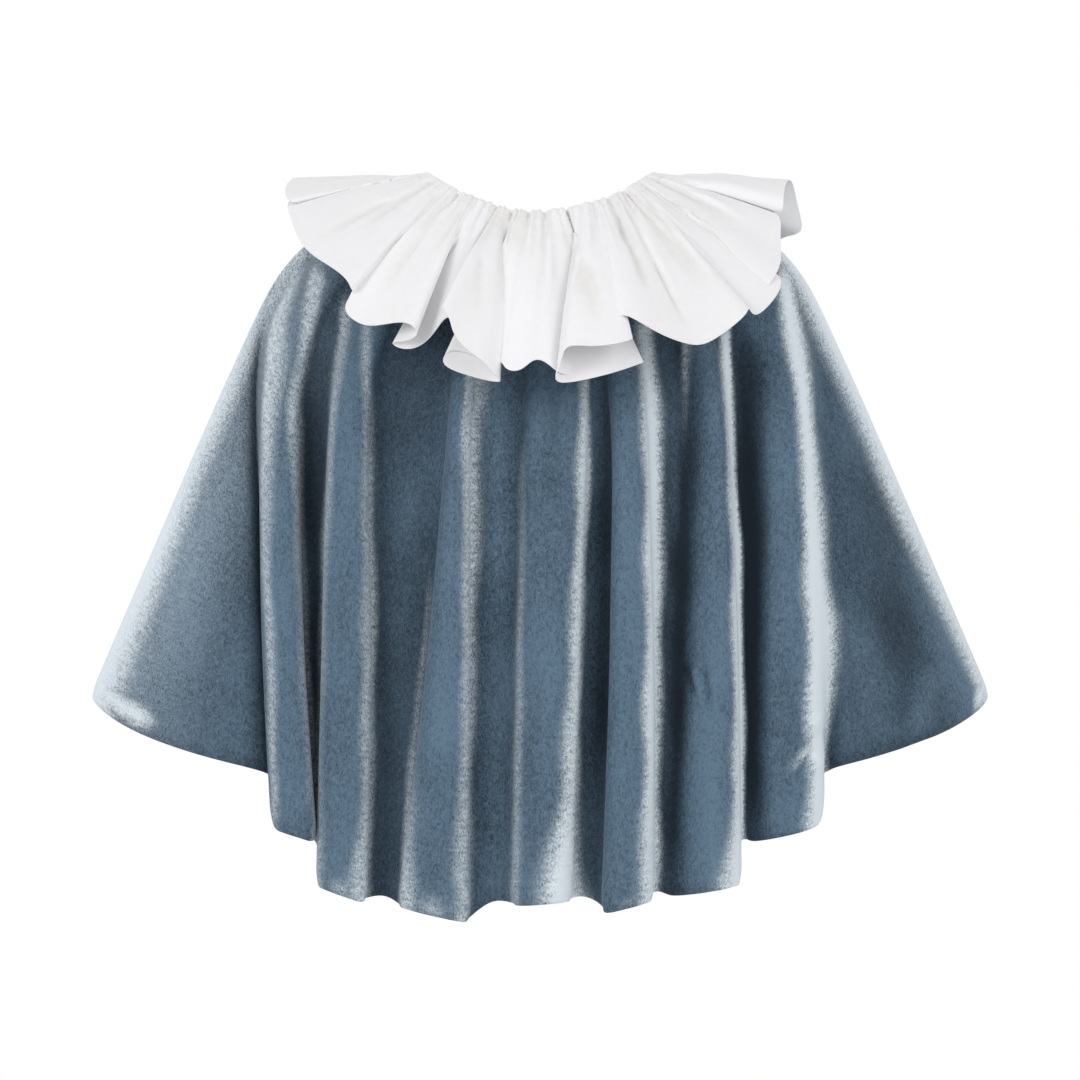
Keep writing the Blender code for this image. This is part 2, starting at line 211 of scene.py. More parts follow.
FOLD_PROFILE = table(
    Profile,
    (-0.12, 0.16, -0.62), (0.00, -0.08, 0.24), (0.24, 0.16, 1.00), (0.50, 0.50, 1.06), (0.76, 0.84, 1.00),
    (1.00, 1.08, 0.24), (1.12, 0.84, -0.62),
)
LEANING_PROFILE = table(
    Profile,
    (-0.10, -0.06, -0.85), (0.06, 0.08, -0.50), (0.26, 0.28, 0.15), (0.50, 0.52, 0.70), (0.76, 0.82, 1.00),
    (1.00, 1.08, 0.24), (1.12, 0.84, -0.62),
)
FIRST_VALLEY = Profile(-0.26, 0.24, -1.00)
END_VALLEY = Profile(1.26, 0.76, -1.00)
Fold = namedtuple(
    "Fold",
    "left_bust left_mid left_hem right_bust right_mid right_hem crown tuck hem_left hem_right profile",
    defaults=(FOLD_PROFILE,),
)

BODY_RINGS = table(
    Ring,
    (62, 2.6, 52, 0.0071, 0),
    (80, 8.5, 56.5, 0.04, 0),
    (104, 18.5, 62.5, 0.092, 0.10),
    (128, 33.5, 69, 0.16, 0.28),
    (146, 53, 76, 0.24, 0.52),
    (158, 78, 83, 0.33, 0.74),
    (183.5, 133, 93.5, 0.50, 0.90),
    (209.5, 192, 102, 0.68, 0.96),
    (231.8, 242, 109, 0.84, 1),
    (249.3, SIDE_HEM_DROP, 115, 1, 1),
)

FRONT_FOLDS = table(
    Fold,
    (-153, -149.5, -142.8, -132.5, -125.5, -117.8, 11, 15, 351, 357),
    (-114, -116.5, -118.5, -93, -89.5, -91, 12, 15, 381, 389),
    (-49, -60, -75, -37.5, -37, -37, 12, 10, 391, 399),
    (-8, -13, -15, 25, 21, 17, 9, 7, 390, 388),
    (39, 36.5, 32, 58, 61, 60, 12, 12, 394, 388),
    (83, 76.5, 69.5, 101, 106, 106.5, 13, 11, 386, 380, LEANING_PROFILE),
    (113, 112, 112, 146, 149, 151, 13, 15, 358, 349, LEANING_PROFILE),
)
BACK_FOLDS = table(
    Fold,
    (-147, -145, -141, -125, -121, -117, 11, 15, 350, 358),
    (-104, -108, -112, -84, -79, -73, 13, 13, 383, 392),
    (-55, -58, -60, -36, -34, -35, 9, 11, 390, 394),
    (-16, -16, -14, 14, 19, 26, 12, 9, 394, 390, LEANING_PROFILE),
    (40, 40, 40, 58, 58, 59, 10, 11, 393, 389),
    (80, 76, 72, 104, 108, 112, 13, 12, 391, 383),
    (126, 122, 119, 148, 147, 145, 11, 10, 357, 351),
)

# The ruffle's free edge across the front, folded back and forth from the roll on one shoulder to the roll
# on the other, with the angle round the neck where its cloth is gathered
FRONT_EDGE = table(
    Edge,
    (-132.2, 22, 1.2, -100), (-137.7, 4, 1.8, -92), (-139.5, -10, 6.9, -86.5), (-136, -26, 15.5, -81),
    (-126, -8, 13, -77), (-137.9, -14, 13, -73.5), (-135.6, -30, 23.2, -69.5), (-129.9, -48, 37, -65.5),
    (-121.8, -60, 45.9, -61.5), (-112.4, -70, 52.2, -58), (-103.4, -80, 59.5, -54.5),
    (-100.5, -86, 65.7, -52), (-99.5, -80, 66.8, -50.5), (-104.2, -86, 74.9, -48), (-99.4, -91, 81.5, -45),
    (-91.5, -95, 85.2, -42), (-82, -98, 84.5, -39), (-73.1, -101, 83.6, -36.8), (-66.9, -105, 86.2, -35),
    (-64.8, -102, 90.7, -33.6), (-71.5, -97, 94, -32.2), (-78, -93, 94, -30.8), (-75.1, -93, 96.8, -29.4),
    (-65.9, -95, 97.1, -27.6), (-56.5, -97, 89.6, -25.6), (-49, -98.5, 79.4, -23.8),
    (-42.7, -98, 86.1, -22.2), (-52.6, -107, 75.4, -20.6), (-48.1, -110, 80, -19.4),
    (-45.9, -113, 88.5, -18.2), (-41.2, -114, 95.9, -17), (-34.2, -114, 101.7, -15.8),
    (-28.1, -113, 106.4, -14.8), (-24.2, -111, 111.6, -13.9), (-20.4, -107.5, 115.5, -13),
    (-28.2, -103.5, 114.7, -12), (-40.5, -101.5, 111.1, -10.9), (-51.8, -100, 105.7, -9.8),
    (-46.2, -98.5, 97.8, -8.8), (-33.5, -99.5, 102, -7.8), (-21.1, -104, 104.3, -6.7),
    (-18.6, -111, 108.4, -5.5), (-12.3, -114, 110, -3.8), (-6.7, -115, 106.8, -1.8),
    (-1.4, -112, 103.6, 0.5), (5.6, -113, 106.9, 3), (13.2, -108, 111.8, 5.6), (30.8, -101, 110.9, 8.2),
    (57, -98, 103.9, 11), (42.3, -101.5, 109.5, 13.2), (26.4, -105, 113.7, 15.2), (8.1, -110, 116.3, 17.2),
    (10.9, -114, 106.4, 18.6), (13.8, -116, 96.9, 20), (26.3, -117, 97.3, 22.4), (38.5, -115, 95.8, 25),
    (47, -112, 93.6, 27), (48.7, -108, 91.3, 28.2), (40.5, -104, 84.1, 29.8), (44.3, -104.5, 79.9, 31.4),
    (52.7, -107, 83.9, 33.4), (63.3, -108, 89.9, 36), (73, -107, 93.7, 38.8), (83.4, -104, 95.9, 41.6),
    (92.6, -99, 92.3, 44.4), (102.9, -92, 84.8, 47.4), (110, -87, 78.3, 50), (111.9, -80, 74.6, 51.6),
    (114.8, -80, 79.4, 53.2), (123, -72, 72.6, 55.4), (129.6, -62, 62.6, 57.6), (127.8, -54, 55.4, 59.2),
    (121.1, -66, 64.3, 60.8), (128.2, -57, 53.8, 63), (130.2, -47, 45.1, 65.6), (130.2, -36, 33.6, 68.4),
    (131, -27, 23.4, 71.4), (125.7, -16, 18.6, 73.6), (131.9, -24, 21, 75.8), (132.6, -24, 11.9, 79),
    (135, -9, 2.8, 84), (139.1, 2, 1.8, 88.5), (142.1, 10, 15, 93), (144.8, 9, 28.6, 97),
    (135.8, 16, 30.4, 100.5),
)

# Waves of its free edge round the back
BACK_LOBES = table(
    Lobe,
    (117, 6.5, 6, 6, -2, -4, -2, -4),
    (131, 6, 9, 8, -2, 5, 3, 0),
    (145.5, 7.5, 8, 9, 7, 1, -4, 5),
    (159.5, 5, 11, 8, -3, 4, 3, 8),
    (176, 9, 8, 10, 8, 0, 3, 0),
    (194, 6, 11, 9, 3, -5, -4, 8),
    (210, 8.5, 8, 8, -4, 6, 4, 0),
    (226, 5.5, 9, 8, 5, 0, -3, 4),
    (242, 7, 6, 6, -5, -4, 2, -5),
)
LOBE_PROFILE = table(
    Profile,
    (-0.06, 0.14, -0.45), (0.08, -0.08, 0.15), (0.30, 0.20, 1.00), (0.70, 0.80, 1.00), (0.92, 1.08, 0.15),
    (1.06, 0.86, -0.45),
)

# Main gathers of the ruffle: angle round the neck, how far out they run and turn, and their width and depth
MAIN_GATHERS = table(
    Gather,
    (-62, 0, 0.70, 2, 1.6, -1.4),
    (-44, 0, 0.55, -1, 1.4, -1.6),
    (-36, 0, 0.80, 0, 1.5, 1.2),
    (-21.5, 0, 0.75, -1, 0.9, -1.8),
    (-14, 0, 0.75, 1.5, 1.4, -1.8),
    (-6, 0, 0.45, 0, 1.2, -1.4),
    (2.5, 0, 0.60, -0.6, 1.3, -1.5),
    (13, 0, 0.80, 0.5, 0.9, -2),
    (24, 0, 0.65, 0, 1.4, 1.3),
    (36, 0, 0.80, 1, 1.5, -1.6),
    (47, 0, 0.85, 0.5, 1.6, -1.8),
    (58, 0, 0.60, 0, 1.5, -1.3),
    (68, 0, 0.80, 0, 1.7, -1.4),
    (41.2, 0.52, 0.95, 0, 0.5, -1.6),
)

# Soft creases of the velvet, as ridges and troughs between two places across and down each side
FRONT_CREASES = table(
    Crease,
    (-22, 95, -24, 240, 7, 1.6), (8, 92, 7, 190, 6, -1.8), (74, 95, 71.5, 215, 5, 3.2),
    (-66, 110, -80, 330, 13, 1.5), (-136, 150, -131, 330, 7, -1), (-104, 170, -106, 380, 6, -1.2),
    (-52, 300, -58, 400, 9, -1.6), (-3, 240, -6, 400, 6, -1.4), (47, 210, 45, 400, 7, -1),
    (88, 300, 92, 400, 6, 1.6), (131, 250, 134, 350, 9, -1.8), (-178, 110, -205, 300, 16, 2),
    (186, 120, 206, 310, 18, -2), (168, 230, 190, 320, 10, 1.6), (212, 262, 200, 312, 6, 3),
    (151, 288, 134, 314, 2.8, 1.7), (152, 297, 137, 324, 2.8, -1.7), (150, 310, 139, 334, 2.8, 1.5),
    (77, 262, 82, 284, 2, -2), (81, 264, 87, 287, 2, 2), (86, 262, 90, 292, 2, -2.4),
    (90, 268, 96, 296, 2, 1.8), (92, 272, 98, 294, 1.6, -2),
)
BACK_CREASES = table(
    Crease,
    (-66, 100, -68, 300, 7, 1.8), (-92, 150, -93, 380, 6, -1.2), (-45, 200, -47, 400, 7, -1.4),
    (26, 90, 25, 220, 5, 2.2), (3, 240, 4, 400, 8, -1.4), (50, 180, 52, 400, 6, -1),
    (72, 110, 73, 260, 5, 2.4), (94, 250, 95, 390, 7, 1.4), (116, 120, 113, 250, 6, 1.8),
    (-133, 150, -128, 340, 7, -1), (-180, 130, -200, 300, 17, -2), (184, 110, 207, 300, 16, 2),
)

# Painted sheen highlights along the front's folds, from one side to the other: drop and place of
# each station, how far the painted highlight spreads to its left and right, and how strong it is
FRONT_PAINTED_SHEEN = (
    band(
        (45, -134, 9, 9, 0.55), (80, -144, 6, 10, 0.6), (125, -149, 4, 11, 0.62),
        (162, -149, 3, 8, 0.52), (199, -148, 3, 5, 0.48), (284, -142.5, 3, 4, 0.45),
        (340, -141, 3, 4, 0.45),
    ),
    band((60, -122, 6, 6, 0.6), (125, -132, 6, 4, 0.55), (190, -129, 4, 3, 0.38), (330, -121, 4, 3, 0.35)),
    band(
        (80, -106, 4, 6, 0.5), (125, -111, 3, 4, 0.4), (199, -115, 3, 4, 0.4), (284, -117, 3, 4, 0.34),
        (385, -119, 3, 6, 0.45),
    ),
    band(
        (90, -93, 4, 4, 0.42), (150, -92.5, 3.5, 4, 0.42), (240, -90.5, 5, 4, 0.5),
        (330, -91.5, 4, 4, 0.48), (390, -93, 9, 4, 0.6),
    ),
    band(
        (110, -36.5, 5, 9, 0.6), (162, -38, 4, 8, 0.62), (240, -38, 4, 6, 0.52),
        (330, -39, 5, 4, 0.48), (400, -40, 8, 4, 0.55),
    ),
    band((230, -59, 2, 4, 0.25), (320, -69, 2, 5, 0.35), (395, -73, 3, 9, 0.6)),
    band((160, -9, 3, 3, 0.25), (240, -10.5, 3, 3, 0.34), (390, -14, 3, 4, 0.4)),
    band(
        (110, 24.5, 4, 3, 0.6), (162, 24.3, 5, 3, 0.85), (199, 22.5, 5, 3, 0.72),
        (284, 19, 6, 3, 0.74), (335, 17, 8, 4, 0.68), (368, 14, 11, 8, 0.9), (392, 12, 14, 14, 0.95),
    ),
    band(
        (90, 57, 6, 5, 0.85), (162, 60, 5, 6, 1.02), (241, 60, 5, 5, 0.9), (330, 59, 5, 5, 0.88),
        (390, 59, 9, 4, 0.8),
    ),
    band((95, 78, 3, 4, 0.45), (125, 78, 3, 3, 0.25), (170, 77, 3, 3, 0.05)),
    band(
        (90, 101, 4, 2.5, 1), (162, 103, 3.5, 2.5, 0.9), (199, 105.5, 4, 2.5, 1.1),
        (330, 107, 5, 2.5, 0.95), (385, 105, 11, 3, 0.95),
    ),
    band(
        (60, 134, 6, 7, 0.9), (125, 142.5, 6, 6, 0.95), (162, 145, 5, 6, 0.9), (199, 146, 6, 8, 1),
        (241, 148.5, 7, 9.5, 1.08), (284, 149, 7.5, 8, 1.1), (312, 149, 6.5, 4.5, 1.05),
        (324, 148.5, 7.5, 3.5, 1.05), (345, 148, 9, 6, 1),
    ),
    # a painted highlight on a wrinkle that runs down from the last fold's outer edge
    band((300, 152, 3, 2, 0), (308, 145, 6, 2.5, 0.75), (316, 137, 7, 2.5, 0.42), (326, 129, 6, 3, 0)),
)

# Painted shade beside the inner edges of the front's folds
FRONT_PAINTED_SHADE = (
    band((100, 111, 6, 14, 0.55), (200, 112, 4, 10, 1.15), (260, 113, 4, 5.5, 1.1), (345, 112, 3, 5, 0.75)),
    band((100, 76, 6, 6, 0.6), (200, 76, 4, 4.5, 0.85), (300, 73, 3.5, 4, 0.75), (380, 69.5, 3, 3.5, 0.35)),
    band((120, 178, 16, 22, 0.2), (300, 204, 38, 36, 0.28)),
    band((100, 38, 4, 7, 0.4), (300, 34.5, 3, 6, 0.25)),
    band((110, -6, 5, 8, 0.4), (300, -12, 4, 7, 0.25)),
    band((150, -139, 3, 6, 0.15), (340, -130, 3, 6, 0.15)),
)

# Painted light, where the velvet is coloured lighter as if it caught more light
FRONT_PAINTED_LIGHT = (
    band((110, -172, 20, 14, 0.4), (200, -188, 32, 26, 0.5), (310, -195, 40, 36, 0.5)),
    band(
        (95, 160, 10, 10, 0.45), (199, 203, 16, 14, 0.75), (254, 224, 18, 14, 1.3),
        (290, 240, 19, 10, 1.05),
    ),
    band((130, 90, 4, 6, 0.1), (220, 87, 6, 8, 0.45), (300, 83, 6, 9, 0.55), (385, 80, 6, 9, 0.45)),
    band((200, 127, 5, 6, 0), (260, 124, 5, 6, 0.22), (345, 123, 6, 7, 0.32)),
    band((110, -24, 10, 9, 0.58), (390, -26, 9, 9, 0.55)),
    band((110, 31, 4.5, 3.5, 0.52), (390, 24, 5.5, 4.5, 0.5)),
)
BACK_PAINTED_LIGHT = (
    band((110, -94, 9, 9, 0.25), (390, -92, 12, 12, 0.3)),
    band((110, 70, 7, 7, 0.3), (390, 66, 7, 6, 0.3)),
)

# Painted sheen along the outer edge of each smooth side: how far it spreads in
FRONT_SIDE_SHEEN = (
    (-1, table(Side, (30, 16, 0.55), (80, 13, 0.75), (199, 20, 0.92), (284, 24, 0.90))),
    (-1, table(Side, (30, 40, 0.30), (199, 60, 0.36), (320, 75, 0.34))),
    (1, table(Side, (30, 12, 0.80), (80, 12, 0.95), (199, 11, 0.85), (284, 9, 0.85))),
    (1, table(Side, (100, 24, 0.12), (199, 28, 0.12), (300, 32, 0.10))),
)
BACK_SIDE_SHEEN = table(Side, (30, 16, 0.70), (80, 12, 0.70), (199, 12, 0.75), (284, 15, 0.80))
BACK_SIDES_SHEEN = ((-1, BACK_SIDE_SHEEN), (1, BACK_SIDE_SHEEN))

# Painted shade beside some of the back's folds
BACK_PAINTED_SHADE = (
    band((100, -76, 4, 9, 0.35), (350, -72, 4, 9, 0.3)),
    band((90, 15, 6, 4, 0.35), (340, 19, 6, 4, 0.25)),
    band((120, 80, 4, 9, 0.4), (370, 77, 4, 8, 0.3)),
)

# Painted sheen highlights in patches just above the hem
FRONT_HEM_SHEEN = table(
    Patch,
    (-254, -198, 8, 7, 0.85), (-120, -90, 2, 7, 0.42), (-76, -38, 2, 9, 0.42), (34, 60, 2, 4, 0.30),
    (88, 107, 4, 8, 0.60), (232, 249, 5, 6, 0.90),
)
BACK_HEM_SHEEN = table(
    Patch,
    (-244, -205, 6, 6, 0.70), (-108, -78, 2, 8, 0.45), (-12, 18, 2, 9, 0.50), (36, 64, 2, 6, 0.35),
    (220, 246, 6, 6, 0.80),
)

# How strong the painted sheen is along the two edges of each fold of the back
BACK_EDGE_SHEEN = (
    (0.55, 0.22), (0.20, 0.52), (0.46, 0.15), (0.16, 0.62), (0.30, 0.74), (0.16, 0.50), (0.25, 0.84),
)


# Form of the cloth


def spline_matrix(count, places, closed):
    """Cubic B-spline weights: a row for each place along count control points."""
    weights = np.zeros((len(places), count))
    for row, place in enumerate(places):
        first = min(int(place), count - 1 if closed else count - 2)
        t = place - first
        basis = (
            (1 - t) ** 3 / 6,
            (3 * t**3 - 6 * t**2 + 4) / 6,
            (-3 * t**3 + 3 * t**2 + 3 * t + 1) / 6,
            t**3 / 6,
        )
        for offset, weight in zip((-1, 0, 1, 2), basis):
            index = first + offset
            if closed:
                weights[row, index % count] += weight
            elif index < 0:
                weights[row, 0] += 2 * weight
                weights[row, 1] -= weight
            elif index >= count:
                weights[row, count - 1] += 2 * weight
                weights[row, count - 2] -= weight
            else:
                weights[row, index] += weight
    return weights


def sample_cage(cage, across, down):
    """The smooth surface on a cage of [ring, column] points, closed round its columns."""
    over_columns = spline_matrix(cage.shape[1], across, closed=True)
    over_rings = spline_matrix(cage.shape[0], down, closed=False)
    return np.einsum("ri,ijk,cj->rck", over_rings, cage, over_columns)


def run_along(line):
    """How far along a line each of its points lies."""
    return np.concatenate([[0], np.cumsum(np.linalg.norm(np.diff(line, axis=0), axis=1))])


def place_along(run, line, place):
    return np.array([np.interp(place, run, line[:, axis]) for axis in range(3)])


def even_across(cage, first, last, count, ring, folds_share):
    """Places along the columns, spread over the cloth of one ring and closer on its folds."""
    fine = np.linspace(first, last, FINE_ACROSS * count)
    run = run_along(sample_cage(cage, fine, [ring])[0, :, :3])
    run = run / run[-1] + folds_share * (fine - first) / (last - first)
    return np.interp(np.linspace(0, run[-1], count), run, fine)


def even_down(cage, column, count):
    """Places along the rings, spread evenly down one column."""
    fine = np.linspace(0, cage.shape[0] - 1, FINE_DOWN)
    run = run_along(sample_cage(cage, [column], fine)[:, 0, :3])
    return np.interp(np.linspace(0, run[-1], count), run, fine)


def outward(points):
    """The direction that each point of a wall faces."""
    normals = np.cross(np.gradient(points, axis=0), np.gradient(points, axis=1))
    return normals / np.maximum(np.linalg.norm(normals, axis=2, keepdims=True), 1e-9)


def smooth_step(value):
    value = np.clip(value, 0.0, 1.0)
    return value * value * (3 - 2 * value)


def neck_drop(angle):
    return NECK_DIP * math.cos(angle) ** 2


def fold_edge(fold, side, ring_index, neck_x):
    """Where a fold's left or right edge lies across the body, on one ring."""
    bust, mid, hem = (getattr(fold, f"{side}_{station}") for station in ("bust", "mid", "hem"))
    if ring_index <= BUST_RING:
        widths = [BODY_RINGS[i].half_width for i in (0, ring_index, BUST_RING)]
        return neck_x + (bust - neck_x) * (widths[1] - widths[0]) / (widths[2] - widths[0])
    if ring_index <= MID_RING:
        return bust + (mid - bust) * (ring_index - BUST_RING) / (MID_RING - BUST_RING)
    return mid + (hem - mid) * (ring_index - MID_RING) / (HEM_RING - MID_RING)


def fold_columns(folds):
    """Lines that run down one side's folds, and how far each stands out."""
    columns = []
    for index, fold in enumerate(folds):
        before = folds[index - 1] if index else None
        columns.append(Column(before, fold, None, -fold.tuck))
        for point in fold.profile:
            depth = fold.crown if point.out > 0 else fold.tuck
            columns.append(Column(fold, fold, point, depth * point.out))
    columns.append(Column(folds[-1], None, None, -END_TUCK))
    return columns


def fold_place(fold, point, ring_index, neck_x, roll):
    """Where one line of a fold lies across the body on one ring, and its hem drop."""
    left = fold_edge(fold, "left", ring_index, neck_x)
    right = fold_edge(fold, "right", ring_index, neck_x)
    width = right - left
    across = point.flat + (point.rolled - point.flat) * roll * min(1.0, ROLL_WIDTH / max(width, 1.0))
    share = min(max(across, 0.0), 1.0)
    return left + across * width, fold.hem_left + share * (fold.hem_right - fold.hem_left)


def fold_roll(column, ring_index, neck_x):
    """How far a fold has rolled over its valleys on one ring."""
    fold = column.left or column.right
    ring = BODY_RINGS[ring_index]
    middle = (fold_edge(fold, "left", ring_index, neck_x) + fold_edge(fold, "right", ring_index, neck_x)) / 2
    facing = math.sqrt(1 - min(1.0, abs(middle) / ring.half_width) ** 2)
    by_ring = smooth_step((ring.fold_strength - ROLL_STARTS) / (1 - ROLL_STARTS))
    return by_ring * smooth_step((facing - ROLL_FACING) / (ROLL_FACED - ROLL_FACING))


def column_place(column, ring_index, neck_x, ease=1.0):
    """Where any line lies across the body on one ring, and its hem drop."""
    left, right, point, _ = column
    roll = fold_roll(column, ring_index, neck_x) * ease
    if point:
        return fold_place(left, point, ring_index, neck_x, roll)
    beside = []
    if left:
        end = left.profile[-1] if right else END_VALLEY
        beside.append(fold_place(left, end, ring_index, neck_x, roll))
    if right:
        end = right.profile[0] if left else FIRST_VALLEY
        beside.append(fold_place(right, end, ring_index, neck_x, roll))
    place = sum(x for x, _ in beside) / len(beside)
    hem = min(drop for _, drop in beside)
    return place, hem - (VALLEY_LIFT if len(beside) == 2 else SIDE_VALLEY_LIFT)


def frontness(cosine, rounding=SEAM_ROUNDING):
    """How far a place has turned from the side, 0, to the front, 1, with a soft ridge along the seam."""
    return (math.hypot(cosine, rounding) - rounding) / (math.hypot(1.0, rounding) - rounding)


def side_hem(angle):
    return SIDE_HEM_DROP + SIDE_HEM_FALL * frontness(math.cos(angle), HEM_ROUNDING)


def general_hem(x):
    """Hem drop of the form without folds: the sides curve down into the front."""
    side = side_hem(math.asin(min(1.0, abs(x) / BODY_RINGS[-1].half_width)))
    return side + (FRONT_HEM_DROP - side) * smooth_step((HEM_TURNS - abs(x)) / (HEM_TURNS - HEM_TURNED))


def half_lines(folds, ring_index, neck_angles):
    """Place, stand-out and hem drop of each line on one ring, from the seam at -X to the one at +X."""
    columns = fold_columns(folds)
    ring = BODY_RINGS[ring_index]
    inner = []
    for index, (column, angle) in enumerate(zip(columns, neck_angles[1 + len(SIDE_COLUMNS) :])):
        from_end = index - len(columns) + len(SOFT_END)
        ease = END_GROWTH[ring_index] if from_end >= 0 else 1.0
        out = SOFT_END[from_end] * (1 - ease) + column.out * ease if from_end >= 0 else column.out
        x, hem = column_place(column, ring_index, NECK_HALF_WIDTH * math.sin(angle), ease)
        if index in (1, len(columns) - 2):
            hem -= SIDE_EDGE_LIFT
        inner.append((x, out, hem))
    sides = {-1: [], 1: []}
    for sign, (edge, _, _) in ((-1, inner[0]), (1, inner[-1])):
        end = math.asin(min(1.0, abs(edge) / ring.half_width))
        for share in SIDE_COLUMNS:
            angle = math.pi / 2 + (end - math.pi / 2) * share
            sides[sign].append((sign * ring.half_width * math.sin(angle), 0.0, side_hem(angle)))
    seam = (-ring.half_width, 0.0, SIDE_HEM_DROP)
    return [seam, *sides[-1], *inner, *reversed(sides[1])]


def ring_point(ring, x, out, neck_angle, hem_x, hem):
    """Depth, height and stand-out of a line on one ring, given its place there and at the hem."""
    facing = math.sqrt(1 - min(1.0, abs(x) / ring.half_width) ** 2)
    side_share = ring.side_drop / SIDE_HEM_DROP
    share = side_share + (ring.front_share - side_share) * frontness(facing)
    top = neck_drop(neck_angle)
    general = general_hem(hem_x)
    drop = top + (general - top) * share + (hem - general) * share**HEM_POWER
    stand = out * ring.fold_strength * smooth_step(facing / SIDE_FADE)
    return ring.half_depth * facing + stand, -drop, stand


def half_cage(folds, sign):
    """Cage points, with their stand-out, from the seam at -X to just before the seam at +X."""
    total = 1 + 2 * len(SIDE_COLUMNS) + len(fold_columns(folds))
    neck_angles = [math.pi * (i / total - 0.5) for i in range(total)]
    hems = half_lines(folds, HEM_RING, neck_angles)
    cage = np.zeros((len(BODY_RINGS), total, 4))
    for r, ring in enumerate(BODY_RINGS):
        for c, (x, out, _) in enumerate(half_lines(folds, r, neck_angles)):
            hem_x, _, hem = hems[c]
            depth, z, stand = ring_point(ring, x, out, neck_angles[c], hem_x, hem)
            cage[r, c] = (x, sign * depth, z, stand)
    return cage


def body_cage():
    """Cage of the whole body: along the front to +X, and back along the back."""
    front = half_cage(FRONT_FOLDS, -1)
    back = half_cage(BACK_FOLDS, 1)
    mirrored = back[:, ::-1]
    right_seam = front[:, :1] * (-1, 1, 1, 1)
    return np.concatenate([front, right_seam, mirrored[:, :-1]], axis=1), front.shape[1]


def ruffle_edge(angle):
    """The ruffle's free edge before it is waved."""
    fall = abs(math.cos(angle)) ** RUFFLE_DROP_POWER
    drop = RUFFLE_SIDE_DROP + (RUFFLE_FRONT_DROP - RUFFLE_SIDE_DROP) * fall
    return np.array((RUFFLE_HALF_WIDTH * math.sin(angle), -RUFFLE_HALF_DEPTH * math.cos(angle), -drop))


def ruffle_neck(angle):
    """The ruffle's gathered edge, just outside the casing."""
    reach = CASING_HALF_WIDTH + SEAM_GAP + RUFFLE_CLEAR
    return np.array(
        (
            (NECK_HALF_WIDTH + reach) * math.sin(angle),
            -(NECK_HALF_DEPTH + reach) * math.cos(angle),
            CASING_HALF_HEIGHT + RUFFLE_RISE - neck_drop(angle),
        )
    )


def ruffle_up(angle):
    """The way out of the ruffle's face, before it is waved, and its way down."""
    along = ruffle_edge(angle + SMALL_TURN) - ruffle_edge(angle - SMALL_TURN)
    run = ruffle_edge(angle) - ruffle_neck(angle)
    up = np.cross(run, along)
    return up / np.linalg.norm(up), run / np.linalg.norm(run)


def back_edges():
    """The free edge round the back, from its lobes."""
    places = []
    for index, lobe in enumerate(BACK_LOBES):
        before = BACK_LOBES[index - 1] if index else lobe._replace(angle=lobe.angle - LOBE_STEP)
        gap = (lobe.angle - lobe.half_width + before.angle + before.half_width) / 2
        places.append((gap + lobe.slip, -lobe.tuck, lobe.under))
        for point in LOBE_PROFILE:
            height = lobe.lift if point.out > 0 else lobe.tuck
            reach = lobe.reach_left + (lobe.reach_right - lobe.reach_left) * point.rolled
            reach += RUFFLE_BELLY * lobe.half_width * 4 * point.rolled * (1 - point.rolled)
            places.append((lobe.angle + (2 * point.rolled - 1) * lobe.half_width, height * point.out, reach))
    necks = np.linspace(*BACK_NECK, len(places))
    edges = []
    for neck, (degrees, lift, reach) in zip(necks, places):
        angle = math.radians(degrees)
        up, run = ruffle_up(angle)
        place = ruffle_edge(angle) + run * reach + up * lift
        edges.append(Edge(place[0], place[1], -place[2], neck))
    return edges


def ruffle_cage():
    """Cage of the ruffle from the neck to its free edge, and the neck angle of each of its columns."""
    edges = [*FRONT_EDGE, *back_edges()]
    places = np.array([(edge.x, edge.y, -edge.drop) for edge in edges])
    mean = (np.roll(places, 1, axis=0) + 4 * places + np.roll(places, -1, axis=0)) / 6
    places = places + (places - mean)
    eased = sum(np.roll(places, step, axis=0) for step in (-2, -1, 0, 1, 2)) / 5
    cage = np.zeros((RUFFLE_RINGS, len(edges), 3))
    for c, edge in enumerate(edges):
        neck = ruffle_neck(math.radians(edge.neck))
        up, _ = ruffle_up(math.atan2(edge.x / RUFFLE_HALF_WIDTH, -edge.y / RUFFLE_HALF_DEPTH))
        facing = RUFFLE_SIDE_BOW + (1 - RUFFLE_SIDE_BOW) * math.cos(math.radians(edge.neck)) ** 2
        for r in range(RUFFLE_RINGS):
            share = r / (RUFFLE_RINGS - 1)
            bow = RUFFLE_BOW * facing * math.sin(math.pi * share)
            edge_place = eased[c] + (places[c] - eased[c]) * smooth_step(share / RUFFLE_CRISP)
            cage[r, c] = neck + (edge_place - neck) * share + up * bow
    return cage, [edge.neck for edge in edges]


def gather_relief(necks, shares, gathers):
    """How far gathers raise or lower each point of the ruffle, by neck angle and share of the way out."""
    relief = np.zeros((len(shares), len(necks)))
    share = np.asarray(shares)[:, None]
    for gather in gathers:
        along = (share - gather.share_top) / (gather.share_low - gather.share_top)
        fade = smooth_step((along + GATHER_START) / GATHER_START) * smooth_step((1 - along) / GATHER_END)
        away = (np.asarray(necks)[None] - gather.neck - gather.turn * share + 180) % 360 - 180
        relief += gather.depth * fade * np.exp(-((away / gather.width) ** 2))
    return relief


def fine_gathers(seed):
    """Small uneven gathers all round the neck."""
    draw = np.random.RandomState(seed)
    gathers = []
    neck = -180.0
    while neck < 178.0:
        depth = -draw.uniform(0.5, 1.3)
        depth *= SMOOTH_DEPTH if any(first < neck < last for first, last in SMOOTH_CLOTH) else 1.0
        gathers.append(
            Gather(neck, 0.0, draw.uniform(0.14, 0.5), draw.uniform(-1.0, 1.0), draw.uniform(0.7, 1.2), depth)
        )
        neck += draw.uniform(2.2, 4.6)
    return gathers


